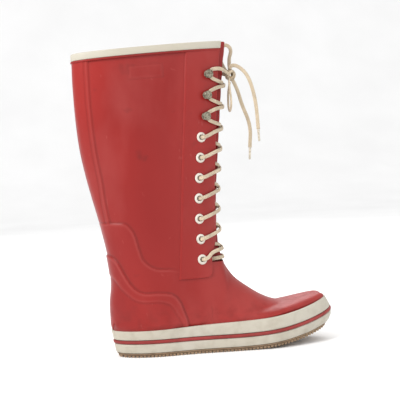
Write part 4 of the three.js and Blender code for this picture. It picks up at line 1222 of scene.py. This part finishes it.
def woven(name, base, shade):
    """Braided cotton: crossing yarns along the lace, painted shade in the low places between the yarns,
    and patches of dirt.
    """
    n = Nodes(name)
    uv = n.add("UVMap", {"uv_map": "weave"}).outputs["UV"]
    yarns = []
    for turn in (0.6, -0.6):
        laid = n.add("Mapping", Vector=uv, Rotation=(0, 0, turn), Scale=(4.2, 13, 1)).outputs["Vector"]
        wave = n.add("TexWave", {"wave_profile": "SIN"}, Vector=laid, Scale=1.0, Distortion=0.3)
        yarns.append(wave.outputs["Fac"])
    braid = n.times(yarns[0], yarns[1], "MAXIMUM")
    dirt = n.spread(n.noise(70, 5, 0.6), 0.42, 0.72)
    fibre = n.noise(2600, 3)
    # The low places of the braid take the shade colour: painted shade between the yarns.
    colour = n.mix(n.spread(braid, 0.2, 0.95), shade, base)
    colour = n.mix(n.times(dirt, 0.5), colour, srgb(150, 132, 106))
    colour = n.mix(n.times(n.spread(fibre, 0.5, 0.8), 0.25), colour, srgb(236, 226, 204))
    bumped = n.bump(fibre, 0.3, 0.1, n.bump(braid, 0.7, 0.45))
    return n.finish(Base_Color=colour, Roughness=0.92, Normal=bumped, Sheen_Weight=0.25)


def knit(name, base, shade, pitch=1.6):
    """Knitted lining: ribs of small stitches."""
    n = Nodes(name)
    scale = 1 / (pitch * MM)
    rib = n.add(
        "TexWave", {"wave_profile": "SIN", "bands_direction": "X"},
        Vector=n.place(), Scale=scale / 6.3, Distortion=0.6,
    )
    stitch = n.add(
        "TexWave", {"wave_profile": "SIN", "bands_direction": "Z"},
        Vector=n.place(), Scale=scale / 5, Distortion=0.8,
    )
    cloth = n.times(rib.outputs["Fac"], stitch.outputs["Fac"])
    worn = n.spread(n.noise(30, 5, 0.5), 0.4, 0.75)
    colour = n.mix(n.spread(cloth, 0, 0.7), shade, base)
    colour = n.mix(n.times(worn, 0.4), colour, srgb(140, 126, 106))
    return n.finish(Base_Color=colour, Roughness=0.95, Normal=n.bump(cloth, 0.6, 0.4), Sheen_Weight=0.3)


def clear_plastic(name):
    n = Nodes(name)
    haze = n.spread(n.noise(500, 4, 0.5), 0.4, 0.7)
    colour = n.mix(haze, srgb(205, 196, 178), srgb(150, 140, 122))
    rough = n.spread(haze, 0, 1, 0.18, 0.42)
    return n.finish(Base_Color=colour, Roughness=rough, Coat_Weight=0.4, Normal=n.bump(haze, 0.2, 0.1))


# base, dark, pale, roughness, and the colour used both for grime and for painted shade
red = rubber(
    "rubber_red", srgb(146, 33, 28), srgb(130, 26, 23), srgb(162, 76, 72), 0.42, srgb(84, 26, 22),
)
tongue_red = rubber(
    "rubber_tongue", srgb(140, 30, 27), srgb(124, 25, 23), srgb(148, 56, 52), 0.48,
    srgb(86, 28, 25),
)
stripe_red = rubber(
    "rubber_stripe", srgb(144, 48, 46), srgb(128, 42, 40), srgb(156, 78, 74), 0.5,
    srgb(90, 44, 36),
)
white = rubber(
    "rubber_white", srgb(182, 176, 162), srgb(176, 169, 153), srgb(190, 186, 176), 0.5,
    srgb(128, 114, 92), 0.3,
)
gum = rubber(
    "rubber_gum", srgb(150, 124, 98), srgb(128, 104, 84), srgb(170, 152, 128), 0.75,
    srgb(92, 78, 62),
)
nickel = metal("nickel_antique", srgb(150, 145, 128), srgb(88, 78, 66), 0.32)
enamel = paint("enamel_white")
cotton = woven("cotton_lace", srgb(226, 208, 180), srgb(190, 166, 132))
lining_knit = knit("knit_lining", srgb(196, 186, 168), srgb(150, 138, 118))
footbed_cloth = knit("footbed_cloth", srgb(186, 176, 158), srgb(140, 128, 108), 1.1)
clear = clear_plastic("plastic_clear")


def give(material, slot, *objects):
    for o in objects:
        if not o.data.materials:
            o.data.materials.append(material)
        for used in o.material_slots:
            used.link = "OBJECT"
            used.material = material


give(red, "red_rubber", upper, *facings)
give(tongue_red, "dark_red_rubber", tongue_piece, piping)
give(stripe_red, "dark_red_rubber", stripe)
give(white, "white_rubber", binding, *bands)
give(gum, "gum_rubber", sole)
give(nickel, "nickel", *hooks)
give(enamel, "white_paint", *eyelets)
give(cotton, "cotton", lace, *cords, *knots)
give(lining_knit, "lining_textile", lining)
give(clear, "clear_plastic", *aglets)
give(footbed_cloth, "lining_textile", frame["nodes"]["footbed"])
give(gum, "gum_rubber", frame["nodes"]["midsole_filler"], frame["nodes"]["insole_board"])


# ---- floor, light ----
def make_stage():
    """Pale floor that sweeps up into a wall far behind the boot."""
    reach, wall, sweep_radius, top = 9, 5, 2, 12
    outline = [(-reach, 0)] + [
        (wall - sweep_radius + sweep_radius * math.sin(a), sweep_radius * (1 - math.cos(a)))
        for a in np.linspace(0, np.pi / 2, 16)
    ] + [(wall, top)]
    points = [(x, y, z) for y, z in outline for x in (-reach, reach)]
    faces = [(2 * k, 2 * k + 1, 2 * k + 3, 2 * k + 2) for k in range(len(outline) - 1)]
    mesh = bpy.data.meshes.new("floor")
    mesh.from_pydata(points, [], faces)
    mesh.polygons.foreach_set("use_smooth", [True] * len(mesh.polygons))
    floor = bpy.data.objects.new("floor", mesh)
    bpy.context.scene.collection.objects.link(floor)
    n = Nodes("floor_pale")
    shade = n.spread(n.noise(3, 2), 0.3, 0.7, 0.9, 0.94)
    colour = n.add("CombineColor", Red=shade, Green=shade, Blue=shade).outputs["Color"]
    mesh.materials.append(n.finish(Base_Color=colour, Roughness=0.9, Specular_IOR_Level=0.1))


def light(name, place, size, power):
    data = bpy.data.lights.new(name, "AREA")
    data.shape = "RECTANGLE"
    data.size, data.size_y = size
    data.energy = power
    made = bpy.data.objects.new(name, data)
    made.location = place
    made.rotation_euler = (TARGET - Vector(place)).to_track_quat("-Z", "Y").to_euler()
    bpy.context.scene.collection.objects.link(made)


make_stage()
light("key", (-1.4, -0.9, 1.5), (0.6, 0.6), 30)
light("fill", (1.3, -1.5, 0.8), (1.8, 1.8), 6)
light("back", (0.3, 1.5, 1.4), (1.4, 0.8), 14)
world = bpy.data.worlds.new("studio")
world.use_nodes = True
world.node_tree.nodes["Background"].inputs["Color"].default_value = (1, 1, 1, 1)
world.node_tree.nodes["Background"].inputs["Strength"].default_value = 1.0
bpy.context.scene.world = world
bpy.context.scene.view_settings.view_transform = "Standard"
